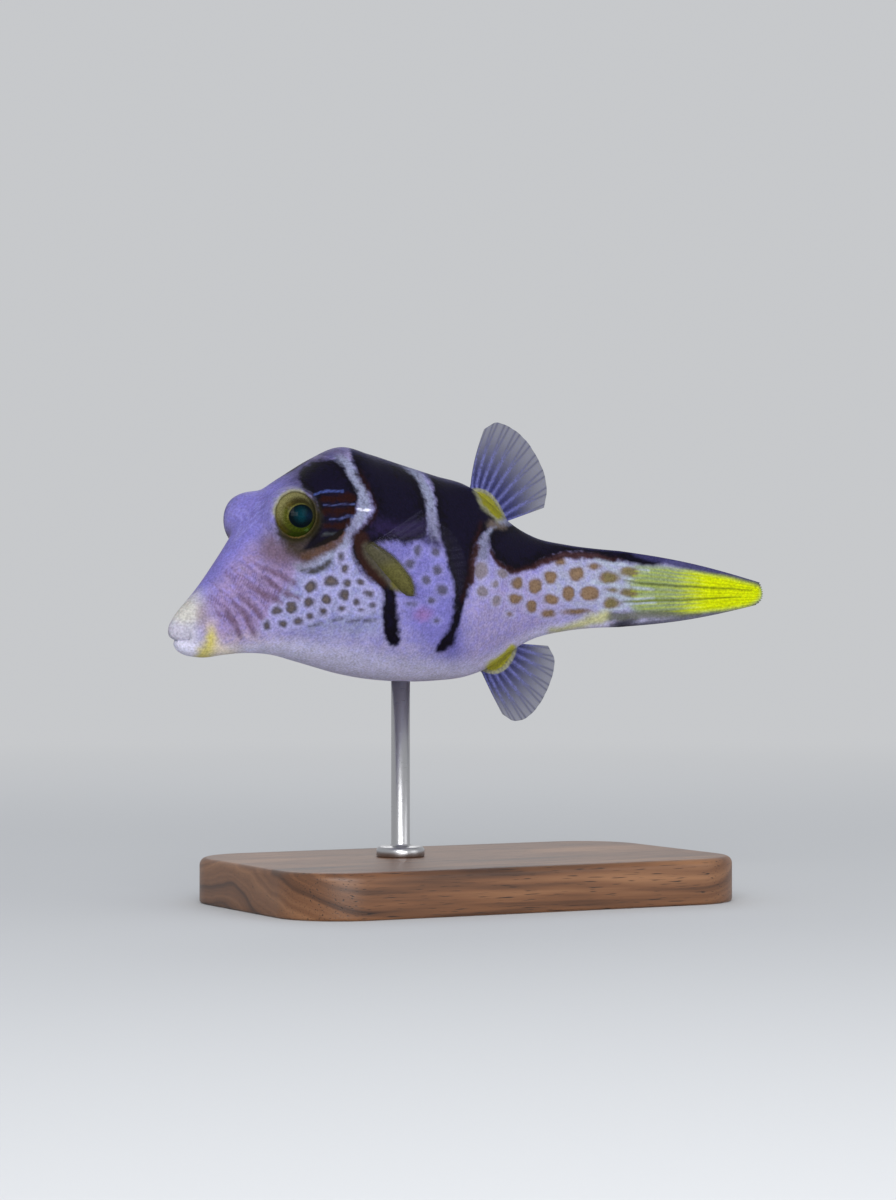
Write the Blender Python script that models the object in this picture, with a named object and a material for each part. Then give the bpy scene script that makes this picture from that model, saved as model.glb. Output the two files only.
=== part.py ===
"""A valentini puffer (saddled sharpnose puffer), life size, as a still museum model on a plain stand.

The fish swims with its head turned to its left. Its length runs along X with the head towards -X,
its left side faces -Y, and the stand's underside lies at Z = 0. Each part is placed from the fish's
own measures: distance along the axis from the lips, offset to its right, and height above the axis.
Each pair of neighbours meets across an even gap, and the skin that covers them all is one piece.
"""

import math

import bmesh
import bpy
import numpy as np
from mathutils import Matrix, Vector

MM = 0.001

# Driving sizes of the fish
TOTAL_LENGTH = 90.0 * MM
STANDARD_LENGTH = 69.6 * MM
AXIS_HEIGHT = 40.0 * MM
HEAD_END = 21.6 * MM
TRUNK_END = 57.0 * MM
GAP = 0.3 * MM
CENTRE_X = -0.25 * MM
CENTRE_Y = 0.0 * MM

# The turn of the body: the rigid head points one way, the tail the other
HEAD_TURN = math.radians(12.0)
TAIL_TURN = math.radians(-14.0)
TURN_START = 22.0 * MM
TURN_END = 76.0 * MM
SPINE_STEP = 0.5 * MM

# Body sections in mm: along the axis, crown, belly, half width, height of the widest level,
# roundness of the upper half and of the lower half (2 is an ellipse, more is boxier)
SECTIONS = (
    (3.0, -0.3, -6.9, 2.45, -4.0, 2.2, 2.2),  # behind the lips
    (5.0, 1.6, -7.05, 3.0, -3.2, 2.2, 2.2),
    (8.0, 5.0, -6.75, 3.9, -2.0, 2.3, 2.2),  # snout
    (11.0, 8.6, -6.6, 4.8, -0.6, 2.5, 2.2),
    (14.0, 11.9, -6.7, 5.7, 0.9, 2.9, 2.2),  # between the eyes
    (17.0, 14.5, -7.2, 6.6, 1.9, 2.9, 2.2),
    (20.0, 16.6, -7.9, 7.5, 2.4, 2.4, 2.2),
    (23.5, 19.0, -8.7, 8.3, 2.5, 2.1, 2.2),  # nape
    (27.0, 20.0, -9.6, 8.9, 2.3, 2.0, 2.2),
    (31.0, 19.3, -10.3, 9.2, 1.8, 1.95, 2.2),
    (36.0, 18.1, -10.75, 9.2, 1.4, 1.95, 2.2),  # deepest belly
    (42.0, 16.6, -10.75, 8.6, 1.4, 1.95, 2.2),
    (47.0, 15.3, -10.2, 7.5, 1.5, 2.0, 2.1),
    (50.0, 13.4, -9.2, 6.6, 1.6, 2.0, 2.0),  # fin bases
    (53.0, 10.8, -7.3, 5.6, 1.7, 2.0, 2.0),
    (57.0, 8.6, -5.3, 4.4, 1.7, 2.0, 2.0),
    (62.0, 7.5, -4.2, 3.2, 1.7, 2.0, 2.0),  # tail stalk
    (66.0, 7.0, -3.8, 2.5, 1.6, 2.1, 2.1),
    (69.6, 6.7, -3.7, 1.9, 1.5, 2.2, 2.2),
)

# Eyes: the ball sits in a round socket, and the skin rises round it to a rim
EYE_ALONG = 15.8 * MM
EYE_OUT = 4.45 * MM
EYE_UP = 10.9 * MM
EYE_RADIUS = 2.95 * MM
EYE_FORWARD = math.radians(12.0)
EYE_OPENING = 2.64 * MM
RIM_CUT = ((2.86, 1.98), (3.15, 2.12), (3.7, 2.6), (4.6, 3.9), (4.6, 5.5))  # trims the mound to a rim
ORBIT_RADIUS = 3.5 * MM
ORBIT_HEART = (1.4, -2.6, -1.4)  # inside both the head and the mound, in mm from the ball's centre
ORBIT_BLEND = 0.5 * MM

# Mouth: the height of the closed line, its half width, and how the lips stand round it
MOUTH_UP = -4.9 * MM
MOUTH_HALF = 1.6 * MM
MOUTH_PARTING = 0.08 * MM
LIP_REACH = 3.0 * MM
LIP_RINGS = 9
LIPS = (  # from the mouth's line outwards: share of the way, how far out, and depth of upper lip, lower lip and corner
    (0.0, 0.0, 1.5, 1.9, 2.9),
    (0.12, 0.05, 0.85, 1.75, 2.65),
    (0.25, 0.16, 0.35, 1.6, 2.45),
    (0.38, 0.34, 0.1, 1.45, 2.3),
    (0.5, 0.54, 0.3, 1.5, 2.25),
    (0.62, 0.73, 0.95, 1.65, 2.3),
    (0.75, 0.88, 1.65, 1.95, 2.45),
    (0.88, 0.97, 2.35, 2.4, 2.7),
    (1.0, 1.0, 3.0, 3.0, 3.0),
)

# Nostrils and gill slits
NOSTRIL_ALONG = 9.0 * MM
NOSTRIL_UP = 4.6 * MM
NOSTRIL_RADIUS = 0.42 * MM
NOSTRIL_SUNK = 0.14 * MM
NOSTRIL_PIT = 0.2 * MM
GILL_TOP = (22.9, 6.6)
GILL_BOTTOM = (26.6, 2.0)
GILL_HALF_WIDTH = 0.3 * MM
GILL_DEPTH = 0.8 * MM

# Fins: (along, up) of each ray's tip in mm, from the first ray to the last
DORSAL_ROOT = (48.5, 53.6)
DORSAL_TIPS = (
    (50.0, 23.0),
    (51.7, 23.9),
    (53.4, 23.5),
    (55.0, 22.6),
    (56.5, 21.2),
    (57.8, 19.3),
    (58.8, 17.2),
    (59.2, 14.8),
    (58.8, 12.5),
)
DORSAL_LEAN = 0.9 * MM
ANAL_ROOT = (49.9, 54.7)
ANAL_TIPS = (
    (52.7, -15.4),
    (54.3, -16.3),
    (55.9, -16.1),
    (57.3, -15.1),
    (58.5, -13.6),
    (59.4, -11.9),
    (60.1, -10.0),
    (60.3, -8.0),
    (59.4, -6.2),
)
ANAL_LEAN = 0.2 * MM
CAUDAL_TIP_TOP = (89.8, 2.4)
CAUDAL_TIP_MIDDLE = 90.3
CAUDAL_TIP_BOTTOM = (89.2, -0.7)
CAUDAL_RAYS = 11
PECTORAL_TOP = (24.8, 6.8)
PECTORAL_BOTTOM = (31.1, 1.0)
PECTORAL_RAYS = 16
PECTORAL_LENGTH = 10.5 * MM
FLESHY_HALF = 1.0 * MM
MEMBRANE_HALF = 0.26 * MM
RAY_RISE = 0.13 * MM
FIN_EDGE_NOTCH = 0.02

# Stand
BASE_LENGTH = 66.0 * MM
BASE_WIDTH = 40.0 * MM
BASE_HEIGHT = 6.0 * MM
BASE_CORNER = 9.0 * MM
BASE_BEVEL = 1.0 * MM
ROD_ALONG = 37.0 * MM
ROD_RADIUS = 1.25 * MM
COLLAR_RADIUS = 3.2 * MM
COLLAR_HEIGHT = 1.4 * MM

# Fineness of the meshes
HEAD_AROUND = 52
TRUNK_AROUND = 44
TAIL_AROUND = 32
FIN_ROWS = 6
COLUMNS_PER_RAY = 2


def hermite(t, a, b, slope_a, slope_b):
    """The cubic from a to b with those end slopes, at t from 0 to 1."""
    return (
        (2 * t**3 - 3 * t**2 + 1) * a
        + (t**3 - 2 * t**2 + t) * slope_a
        + (3 * t**2 - 2 * t**3) * b
        + (t**3 - t**2) * slope_b
    )


def smooth_rows(rows, at):
    """The rows' values at one place, on a smooth curve through every row; the first column is the place."""
    rows = np.asarray(rows, float)
    x = rows[:, 0]
    at = min(max(at, x[0]), x[-1])
    i = int(min(np.searchsorted(x, at, side="right") - 1, len(x) - 2))
    slopes = np.gradient(rows[:, 1:], x, axis=0)
    width = x[i + 1] - x[i]
    t = (at - x[i]) / width
    return hermite(t, rows[i, 1:], rows[i + 1, 1:], slopes[i] * width, slopes[i + 1] * width)


def smoothstep(t):
    t = np.clip(t, 0.0, 1.0)
    return t * t * (3 - 2 * t)


def mix(a, b, t):
    return a + (b - a) * t


def heading(along):
    """The way the axis points at a place, as an angle from +X towards +Y."""
    return HEAD_TURN + (TAIL_TURN - HEAD_TURN) * smoothstep((along - TURN_START) / (TURN_END - TURN_START))


SPINE_AT = np.arange(0.0, TOTAL_LENGTH + SPINE_STEP / 2, SPINE_STEP)
SPINE_MIDDLE = heading((SPINE_AT[1:] + SPINE_AT[:-1]) / 2)
SPINE_X = np.concatenate([[0.0], np.cumsum(np.cos(SPINE_MIDDLE) * SPINE_STEP)])
SPINE_Y = np.concatenate([[0.0], np.cumsum(np.sin(SPINE_MIDDLE) * SPINE_STEP)])
SPINE_X += CENTRE_X - (SPINE_X[0] + SPINE_X[-1]) / 2
SPINE_Y += CENTRE_Y - SPINE_Y.max() / 2


def place(along, right, up):
    """A point of the fish in the row's frame."""
    extra = max(0.0, along - TOTAL_LENGTH) + min(0.0, along)
    turn = float(heading(along))
    x = float(np.interp(along, SPINE_AT, SPINE_X)) + extra * math.cos(turn)
    y = float(np.interp(along, SPINE_AT, SPINE_Y)) + extra * math.sin(turn)
    return Vector((x - right * math.sin(turn), y + right * math.cos(turn), AXIS_HEIGHT + up))


def fish_measures(x, y):
    """The place along the axis and the offset to the right of a point of the row's frame."""
    along = TOTAL_LENGTH * (x - SPINE_X[0]) / (SPINE_X[-1] - SPINE_X[0])
    for _ in range(8):
        turn = float(heading(along))
        here = place(along, 0.0, 0.0)
        along += (x - here.x) * math.cos(turn) + (y - here.y) * math.sin(turn)
    turn = float(heading(along))
    here = place(along, 0.0, 0.0)
    return along, -(x - here.x) * math.sin(turn) + (y - here.y) * math.cos(turn)


def section(along):
    """Crown, belly, half width, widest level, and the two roundness powers at a place on the axis."""
    values = smooth_rows(SECTIONS, along / MM)
    return (*(values[:4] * MM), *values[4:])


def ring_point(along, angle):
    """(right, up) of the body's skin; angle runs from the crown, over the right side, to the belly."""
    crown, belly, half_width, widest, upper, lower = section(along)
    c, s = math.cos(angle), math.sin(angle)
    power = upper if c >= 0 else lower
    reach = crown - widest if c >= 0 else widest - belly
    right = half_width * math.copysign(abs(s) ** (2 / power), s)
    up = widest + reach * math.copysign(abs(c) ** (2 / power), c)
    return right, up


def half_width_at(along, up):
    """How far to the side the skin lies at a height."""
    crown, belly, half_width, widest, upper, lower = section(along)
    power = upper if up >= widest else lower
    reach = crown - widest if up >= widest else widest - belly
    share = min(abs(up - widest) / reach, 1.0)
    return half_width * (1 - share**power) ** (1 / power)


def edge_height(along, right, top):
    """The height of the back, or of the belly, at an offset to the side."""
    crown, belly, half_width, widest, upper, lower = section(along)
    power = upper if top else lower
    reach = crown - widest if top else belly - widest
    share = min(abs(right) / half_width, 1.0)
    return widest + reach * (1 - share**power) ** (1 / power)


def eye_axis(side):
    """The way an eye looks, in along, right, up."""
    return Vector((-math.sin(EYE_FORWARD), side * math.cos(EYE_FORWARD), 0.0))


def with_orbits(along, right, up):
    """The skin raised round each eyeball: pushed away from a point inside the head, out to the mound."""
    p = Vector((along, right, up))
    for side in (-1, 1):
        ball_at = Vector((EYE_ALONG, side * EYE_OUT, EYE_UP))
        heart = ball_at + Vector((ORBIT_HEART[0], side * ORBIT_HEART[1], ORBIT_HEART[2])) * MM
        reach = (p - heart).length
        way = (p - heart) / reach
        inward = (heart - ball_at).dot(way)
        leave = -inward + math.sqrt(inward**2 + ORBIT_RADIUS**2 - (heart - ball_at).length_squared)
        if leave < reach - 8 * ORBIT_BLEND:
            continue
        p = p + way * ORBIT_BLEND * math.log1p(math.exp(min((leave - reach) / ORBIT_BLEND, 40.0)))
    return p


def skin(along, angle):
    return place(*with_orbits(along, *ring_point(along, angle)))


def lip_point(share, angle):
    """A point of the lips, from the closed mouth's line (share 0) to the first section (share 1)."""
    right, up = ring_point(LIP_REACH, angle)
    inner_right = MOUTH_HALF * math.sin(angle)
    inner_up = MOUTH_UP + MOUTH_PARTING * math.cos(angle)
    spread, upper, lower, corner = (float(v) for v in smooth_rows(LIPS, share))
    front = upper if math.cos(angle) >= 0 else lower
    depth = mix(corner, front, math.cos(angle) ** 2) * MM
    return place(depth, mix(inner_right, right, spread), mix(inner_up, up, spread))


def side_point(along, up, side, lift=GAP):
    """A point over the flank, this far off the skin."""
    here = place(along, side * half_width_at(along, up), up)
    step = 0.2 * MM
    ahead = place(along + step, side * half_width_at(along + step, up), up)
    above = place(along, side * half_width_at(along, up + step), up + step)
    out = (ahead - here).cross(above - here).normalized() * -side
    return here + out * lift


def edge_point(along, right, top, lift=GAP):
    """A point over the back or under the belly, this far off the skin."""
    step = 0.2 * MM
    here = place(along, right, edge_height(along, right, top))
    ahead = place(along + step, right, edge_height(along + step, right, top))
    beside = place(along, right + step, edge_height(along, right + step, top))
    out = (ahead - here).cross(beside - here).normalized() * (1 if top else -1)
    return here + out * lift


def material(name, colour, roughness, metallic=0.0):
    made = bpy.data.materials.new(name)
    made.use_nodes = True
    shader = made.node_tree.nodes["Principled BSDF"]
    shader.inputs["Base Color"].default_value = (*colour, 1.0)
    shader.inputs["Roughness"].default_value = roughness
    shader.inputs["Metallic"].default_value = metallic
    made.diffuse_color = (*colour, 1.0)
    return made


def new_object(name, points, faces, finish=None):
    mesh = bpy.data.meshes.new(name)
    mesh.from_pydata([tuple(p) for p in points], [], faces)
    built = bmesh.new()
    built.from_mesh(mesh)
    bmesh.ops.recalc_face_normals(built, faces=built.faces)
    built.to_mesh(mesh)
    built.free()
    made = bpy.data.objects.new(name, mesh)
    bpy.context.scene.collection.objects.link(made)
    if finish:
        mesh.materials.append(finish)
    return made


def loft(name, rings, finish=None, mouth=False):
    """One closed body through the rings. The first end is flat, or zipped shut along the mouth's line."""
    around = len(rings[0])
    points = [p for ring in rings for p in ring]
    faces = []
    for r in range(len(rings) - 1):
        for i in range(around):
            j = (i + 1) % around
            faces.append((r * around + i, r * around + j, (r + 1) * around + j, (r + 1) * around + i))
    last = (len(rings) - 1) * around
    faces.append(tuple(last + i for i in range(around)))
    if mouth:
        half = around // 2
        for i in range(-(around // 4), around // 4):
            corners = [i % around, (i + 1) % around, (half - i - 1) % around, (half - i) % around]
            faces.append(tuple(dict.fromkeys(corners)))
    else:
        faces.append(tuple(range(around)))
    return new_object(name, points, faces, finish)


def boolean(target, operation, tool):
    made = target.modifiers.new(f"{operation.title()} {tool.name}", "BOOLEAN")
    made.operation = operation
    made.object = tool
    made.solver = "EXACT"
    tool.hide_render = True
    return made


def settle(target):
    """The Booleans made final, with the specks that they leave drawn together."""
    graph = bpy.context.evaluated_depsgraph_get()
    mesh = bpy.data.meshes.new_from_object(target.evaluated_get(graph))
    target.modifiers.clear()
    built = bmesh.new()
    built.from_mesh(mesh)
    bmesh.ops.remove_doubles(built, verts=built.verts, dist=0.02 * MM)
    bmesh.ops.dissolve_degenerate(built, edges=built.edges, dist=0.01 * MM)
    bmesh.ops.triangulate(built, faces=built.faces)
    built.to_mesh(mesh)
    built.free()
    target.data = mesh


def ball(name, centre, radius, axis, segments, rings, finish=None):
    """A ball with its poles along the axis."""
    turn = axis.to_track_quat("Z", "Y").to_matrix().to_4x4()
    built = bmesh.new()
    matrix = Matrix.Translation(centre) @ turn
    bmesh.ops.create_uvsphere(built, u_segments=segments, v_segments=rings, radius=radius, matrix=matrix)
    mesh = bpy.data.meshes.new(name)
    built.to_mesh(mesh)
    built.free()
    made = bpy.data.objects.new(name, mesh)
    bpy.context.scene.collection.objects.link(made)
    if finish:
        mesh.materials.append(finish)
    return made


def socket(name, centre, axis):
    """The round hollow that holds an eyeball, with its opening."""
    turn = axis.to_track_quat("Z", "Y").to_matrix()
    radius = EYE_RADIUS + GAP
    mouth_at = math.asin(EYE_OPENING / radius)
    profile = [(radius * math.sin(a), radius * math.cos(a)) for a in np.linspace(math.pi * 0.965, mouth_at, 12)]
    profile += [(r * MM, h * MM) for r, h in RIM_CUT]
    rings = [[centre + turn @ Vector((r * math.cos(a), r * math.sin(a), h)) for a in angles(32)] for r, h in profile]
    return loft(name, rings)


def angles(around):
    return [2 * math.pi * i / around for i in range(around)]


def gill_cutter(name, side):
    """A lens-shaped blade across the skin, for the gill slit in front of the pectoral fin."""
    points, steps = [], 8
    for i in range(steps + 1):
        t = i / steps
        along = mix(GILL_TOP[0], GILL_BOTTOM[0], t) - 0.7 * math.sin(math.pi * t)
        up = mix(GILL_TOP[1], GILL_BOTTOM[1], t) - 0.7 * math.sin(math.pi * t)
        width = GILL_HALF_WIDTH * math.sin(math.pi * min(max(t, 0.04), 0.96)) ** 0.5
        for sign in (-1, 1):
            for lift in (GILL_DEPTH, -GILL_DEPTH):
                at = along * MM + sign * width * 0.75
                points.append(side_point(at, up * MM + sign * width * 0.66, side, lift))
    faces = [(0, 1, 3, 2), tuple(steps * 4 + k for k in (0, 2, 3, 1))]
    loop = (0, 1, 3, 2)
    for i in range(steps):
        for k in range(4):
            a, b = loop[k], loop[(k + 1) % 4]
            faces.append((i * 4 + a, i * 4 + b, (i + 1) * 4 + b, (i + 1) * 4 + a))
    return new_object(name, points, faces)


def fin(name, columns, rows, line, half_thickness, root, finish):
    """A ridged blade. line(u, v) is its middle surface, half_thickness(u, v) its half thickness, and
    root(u, sign) its foot on one side of the middle (sign 0 is the middle itself)."""
    middle = [[line(u, j / rows) for j in range(rows + 1)] for u in columns]
    points, faces, loop = [], [], 2 * (rows + 1) + 1
    for i, u in enumerate(columns):
        across = [root(u, sign) for sign in (1, 0, -1)]
        left, right = [], []
        for j in range(rows + 1):
            before, after = middle[max(i - 1, 0)][j], middle[min(i + 1, len(columns) - 1)][j]
            below, above = middle[i][max(j - 1, 0)], middle[i][min(j + 1, rows)]
            out = (after - before).cross(above - below).normalized() * half_thickness(u, j / rows)
            left.append(middle[i][j] + out)
            right.append(middle[i][j] - out)
        if (across[0] - across[2]).dot(left[0] - right[0]) < 0:
            across.reverse()
        left[0], right[0] = across[0], across[2]
        points += [*reversed(left), across[1], *right]
    for i in range(len(columns) - 1):
        here, there = i * loop, (i + 1) * loop
        for k in range(loop):
            m = (k + 1) % loop
            if k <= rows:
                faces += [(here + k, there + k, here + m), (there + k, there + m, here + m)]
            else:
                faces += [(here + k, there + k, there + m), (here + k, there + m, here + m)]
    for start in (0, (len(columns) - 1) * loop):
        for j in range(rows):
            faces.append((start + j, start + j + 1, start + loop - 2 - j, start + loop - 1 - j))
        faces.append((start + rows, start + rows + 1, start + rows + 2))
    return new_object(name, points, faces, finish)


def ray_columns(rays):
    """Places across a fin, with a column on each ray and columns between the rays."""
    return [k / COLUMNS_PER_RAY for k in range((rays - 1) * COLUMNS_PER_RAY + 1)]


def ray_weight(u):
    """1 on a ray, 0 half way to the next one."""
    return 0.5 + 0.5 * math.cos(2 * math.pi * u)


def blade_thickness(u, v, foot, fleshy_share):
    """A fleshy foot that thins to the membrane, with the rays as ridges on it."""
    flesh = (foot - MEMBRANE_HALF) * max(0.0, 1 - v / fleshy_share) ** 1.3
    ridge = RAY_RISE * ray_weight(u) * (1 - 0.5 * v)
    return MEMBRANE_HALF + flesh + ridge


def bend(a, b, c, t):
    """A curve from a to c that leans towards b."""
    return a * (1 - t) ** 2 + b * (2 * t * (1 - t)) + c * t**2


def median_fin(name, root_range, tips, top, lean, finish):
    """The dorsal or the anal fin: a fan of rays in the middle plane, the first of them bowed forward."""
    rays = len(tips)
    rows = [(k, *tip) for k, tip in enumerate(tips)]

    def root_along(u):
        return mix(root_range[0], root_range[1], u / (rays - 1)) * MM

    def foot(u):
        share = u / (rays - 1)
        return FLESHY_HALF * (0.55 + 0.45 * math.sin(math.pi * min(max(share, 0.0), 1.0)))

    def line(u, v):
        start = edge_point(root_along(u), 0.0, top)
        along, up = smooth_rows(rows, u)
        tip = place(along * MM, 0.0, up * MM)
        forward = place(root_along(u) - lean, 0.0, 0.0) - place(root_along(u), 0.0, 0.0)
        notch = 1 - FIN_EDGE_NOTCH * (1 - ray_weight(u))
        knee = (start + tip) / 2 + forward * (1 - u / (rays - 1))
        return bend(start, knee, tip, v * notch)

    def root(u, sign):
        return edge_point(root_along(u), sign * foot(u), top)

    def half(u, v):
        return blade_thickness(u, v, foot(u), 0.24)

    return fin(name, ray_columns(rays), FIN_ROWS, line, half, root, finish)


def caudal_fin(finish):
    """The folded tail fin, which starts as thick as the tail's stalk."""
    start_at = STANDARD_LENGTH + GAP / 2
    crown, belly = section(STANDARD_LENGTH)[:2]

    def up_at(share):
        return mix(belly + 0.25 * MM, crown - 0.25 * MM, share)

    def line(u, v):
        share = u / (CAUDAL_RAYS - 1)
        tip_up = mix(CAUDAL_TIP_BOTTOM[1], CAUDAL_TIP_TOP[1], share) * MM
        ends = mix(CAUDAL_TIP_BOTTOM[0], CAUDAL_TIP_TOP[0], share)
        tip_at = mix(ends, CAUDAL_TIP_MIDDLE, math.sin(math.pi * share) ** 0.7) * MM
        notch = 1 - 0.5 * FIN_EDGE_NOTCH * (1 - ray_weight(u))
        bulge = 0.5 * MM * math.sin(math.pi * v) * (2 * share - 1)
        up = mix(up_at(share), tip_up, v) + bulge
        return place(mix(start_at, tip_at, v * notch), 0.0, up)

    def foot(u):
        return max(half_width_at(STANDARD_LENGTH, up_at(u / (CAUDAL_RAYS - 1))), 0.5 * MM)

    def root(u, sign):
        return place(start_at, sign * foot(u), up_at(u / (CAUDAL_RAYS - 1)))

    def half(u, v):
        flesh = (foot(u) - 0.4 * MM) * math.exp(-((v / 0.28) ** 1.5))
        ridge = RAY_RISE * ray_weight(u) * (1 - 0.6 * v)
        return mix(0.4, 0.27, v) * MM + flesh + ridge

    return fin("caudal_fin", ray_columns(CAUDAL_RAYS), FIN_ROWS + 2, line, half, root, finish)


def pectoral_fin(name, side, finish):
    """A fan of rays on a fleshy, slanting foot behind the gill slit."""
    slant = Vector((PECTORAL_BOTTOM[0] - PECTORAL_TOP[0], PECTORAL_BOTTOM[1] - PECTORAL_TOP[1])).normalized()

    def spot(u, sign=0.0):
        share = u / (PECTORAL_RAYS - 1)
        off = sign * 0.9 * MM
        along = mix(PECTORAL_TOP[0], PECTORAL_BOTTOM[0], share) * MM - slant.y * off
        up = mix(PECTORAL_TOP[1], PECTORAL_BOTTOM[1], share) * MM + slant.x * off
        return along, up

    def line(u, v):
        share = u / (PECTORAL_RAYS - 1)
        along, up = spot(u)
        start = side_point(along, up, side)
        out = (side_point(along, up, side, 2.0 * MM) - start).normalized()
        turn = float(heading(along))
        back = Vector((math.cos(turn), math.sin(turn), 0.0))
        rise = mix(0.55, -0.35, share)
        length = PECTORAL_LENGTH * (0.72 + 0.28 * math.sin(math.pi * min(share + 0.12, 1.0)))
        reach = (back * 0.86 + out * 0.5 + Vector((0.0, 0.0, rise))).normalized() * length
        notch = 1 - FIN_EDGE_NOTCH * (1 - ray_weight(u))
        knee = start + out * 2.0 * MM + reach * 0.15
        return bend(start, knee, start + reach, v * notch)

    def root(u, sign):
        return side_point(*spot(u, sign), side)

    def half(u, v):
        return blade_thickness(u, v, 0.9 * MM, 0.26)

    return fin(name, ray_columns(PECTORAL_RAYS), FIN_ROWS, line, half, root, finish)


def stand_base(finish):
    corners = []
    for cx, cy, start in ((1, 1, 0), (-1, 1, 1), (-1, -1, 2), (1, -1, 3)):
        for k in range(7):
            turn = math.pi / 2 * (start + k / 6)
            corners.append((cx, cy, math.cos(turn), math.sin(turn)))
    rings = []
    for inset, up in ((BASE_BEVEL, 0.0), (0.0, BASE_BEVEL), (0.0, BASE_HEIGHT - BASE_BEVEL), (BASE_BEVEL, BASE_HEIGHT)):
        ring = []
        for cx, cy, c, s in corners:
            radius = BASE_CORNER - inset
            x = cx * (BASE_LENGTH / 2 - BASE_CORNER) + radius * c
            y = cy * (BASE_WIDTH / 2 - BASE_CORNER) + radius * s
            ring.append(Vector((x, y, up)))
        rings.append(ring)
    return loft("stand_base", rings, finish)


def stand_rod(finish):
    """A rod with a collar at its foot and a top shaped to the belly."""
    centre = place(ROD_ALONG, 0.0, 0.0)
    foot = BASE_HEIGHT + GAP
    shape = (
        (COLLAR_RADIUS, foot),
        (COLLAR_RADIUS, foot + COLLAR_HEIGHT * 0.6),
        (COLLAR_RADIUS * 0.86, foot + COLLAR_HEIGHT),
        (ROD_RADIUS + 0.4 * MM, foot + COLLAR_HEIGHT),
        (ROD_RADIUS, foot + COLLAR_HEIGHT + 0.4 * MM),
    )
    rings = [[Vector((centre.x + r * math.cos(a), centre.y + r * math.sin(a), z)) for a in angles(24)] for r, z in shape]
    for share in (1.0, 0.5):
        ring = []
        for a in angles(24):
            x = centre.x + ROD_RADIUS * share * math.cos(a)
            y = centre.y + ROD_RADIUS * share * math.sin(a)
            along, right = fish_measures(x, y)
            ring.append(Vector((x, y, AXIS_HEIGHT + edge_height(along, right, False) - GAP)))
        rings.append(ring)
    return loft("stand_rod", rings, finish)


def clear_scene():
    for old in list(bpy.data.objects):
        bpy.data.objects.remove(old)


def main():
    clear_scene()
    head_skin = material("head skin", (0.42, 0.40, 0.62), 0.42)
    flank_skin = material("flank skin", (0.30, 0.27, 0.36), 0.42)
    tail_skin = material("tail skin", (0.52, 0.44, 0.42), 0.42)
    fin_skin = material("fin membrane", (0.45, 0.45, 0.68), 0.4)
    tail_fin_skin = material("tail fin membrane", (0.72, 0.66, 0.10), 0.4)
    eye_finish = material("eye", (0.05, 0.22, 0.20), 0.08)
    wood = material("walnut", (0.13, 0.06, 0.03), 0.45)
    steel = material("steel", (0.55, 0.55, 0.56), 0.3, 1.0)

    head_at = [3.0, 3.6, 4.3, 5.1, 6.0, 7.0, 8.0, 9.0, *np.arange(10.0, 21.0, 0.62), HEAD_END / MM - 0.15]
    rings = [[lip_point(k / LIP_RINGS, a) for a in angles(HEAD_AROUND)] for k in range(LIP_RINGS)]
    rings += [[skin(s * MM, a) for a in angles(HEAD_AROUND)] for s in head_at]
    head = loft("head", rings, head_skin, mouth=True)
    for side, word in ((-1, "left"), (1, "right")):
        centre = place(EYE_ALONG, side * EYE_OUT, EYE_UP)
        ahead = eye_axis(side)
        turn = float(heading(EYE_ALONG))
        axis = Matrix.Rotation(turn, 3, "Z") @ ahead
        boolean(head, "DIFFERENCE", socket(f"socket_{word}", centre, axis))
        ball(f"eye_{word}", centre, EYE_RADIUS, axis, 24, 14, eye_finish)
        at = side_point(NOSTRIL_ALONG, NOSTRIL_UP, side, -NOSTRIL_SUNK)
        out = (side_point(NOSTRIL_ALONG, NOSTRIL_UP, side, 1.0 * MM) - at).normalized()
        boolean(head, "UNION", ball(f"nostril_{word}", at, NOSTRIL_RADIUS, out, 12, 8))
        boolean(head, "DIFFERENCE", ball(f"nostril_pit_{word}", at + out * NOSTRIL_RADIUS, NOSTRIL_PIT, out, 10, 6))

    settle(head)

    trunk_at = np.linspace(HEAD_END + GAP / 2, TRUNK_END - GAP / 2, 24)
    trunk = loft("trunk", [[skin(s, a) for a in angles(TRUNK_AROUND)] for s in trunk_at], flank_skin)
    for side, word in ((-1, "left"), (1, "right")):
        boolean(trunk, "DIFFERENCE", gill_cutter(f"gill_slit_{word}", side))
    settle(trunk)
    tail_at = np.linspace(TRUNK_END + GAP / 2, STANDARD_LENGTH - GAP / 2, 9)
    loft("tail", [[skin(s, a) for a in angles(TAIL_AROUND)] for s in tail_at], tail_skin)

    median_fin("dorsal_fin", DORSAL_ROOT, DORSAL_TIPS, True, DORSAL_LEAN, fin_skin)
    median_fin("anal_fin", ANAL_ROOT, ANAL_TIPS, False, ANAL_LEAN, fin_skin)
    caudal_fin(tail_fin_skin)
    pectoral_fin("pectoral_fin_left", -1, fin_skin)
    pectoral_fin("pectoral_fin_right", 1, fin_skin)
    stand_base(wood)
    stand_rod(steel)


main()
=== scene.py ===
import math

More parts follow.
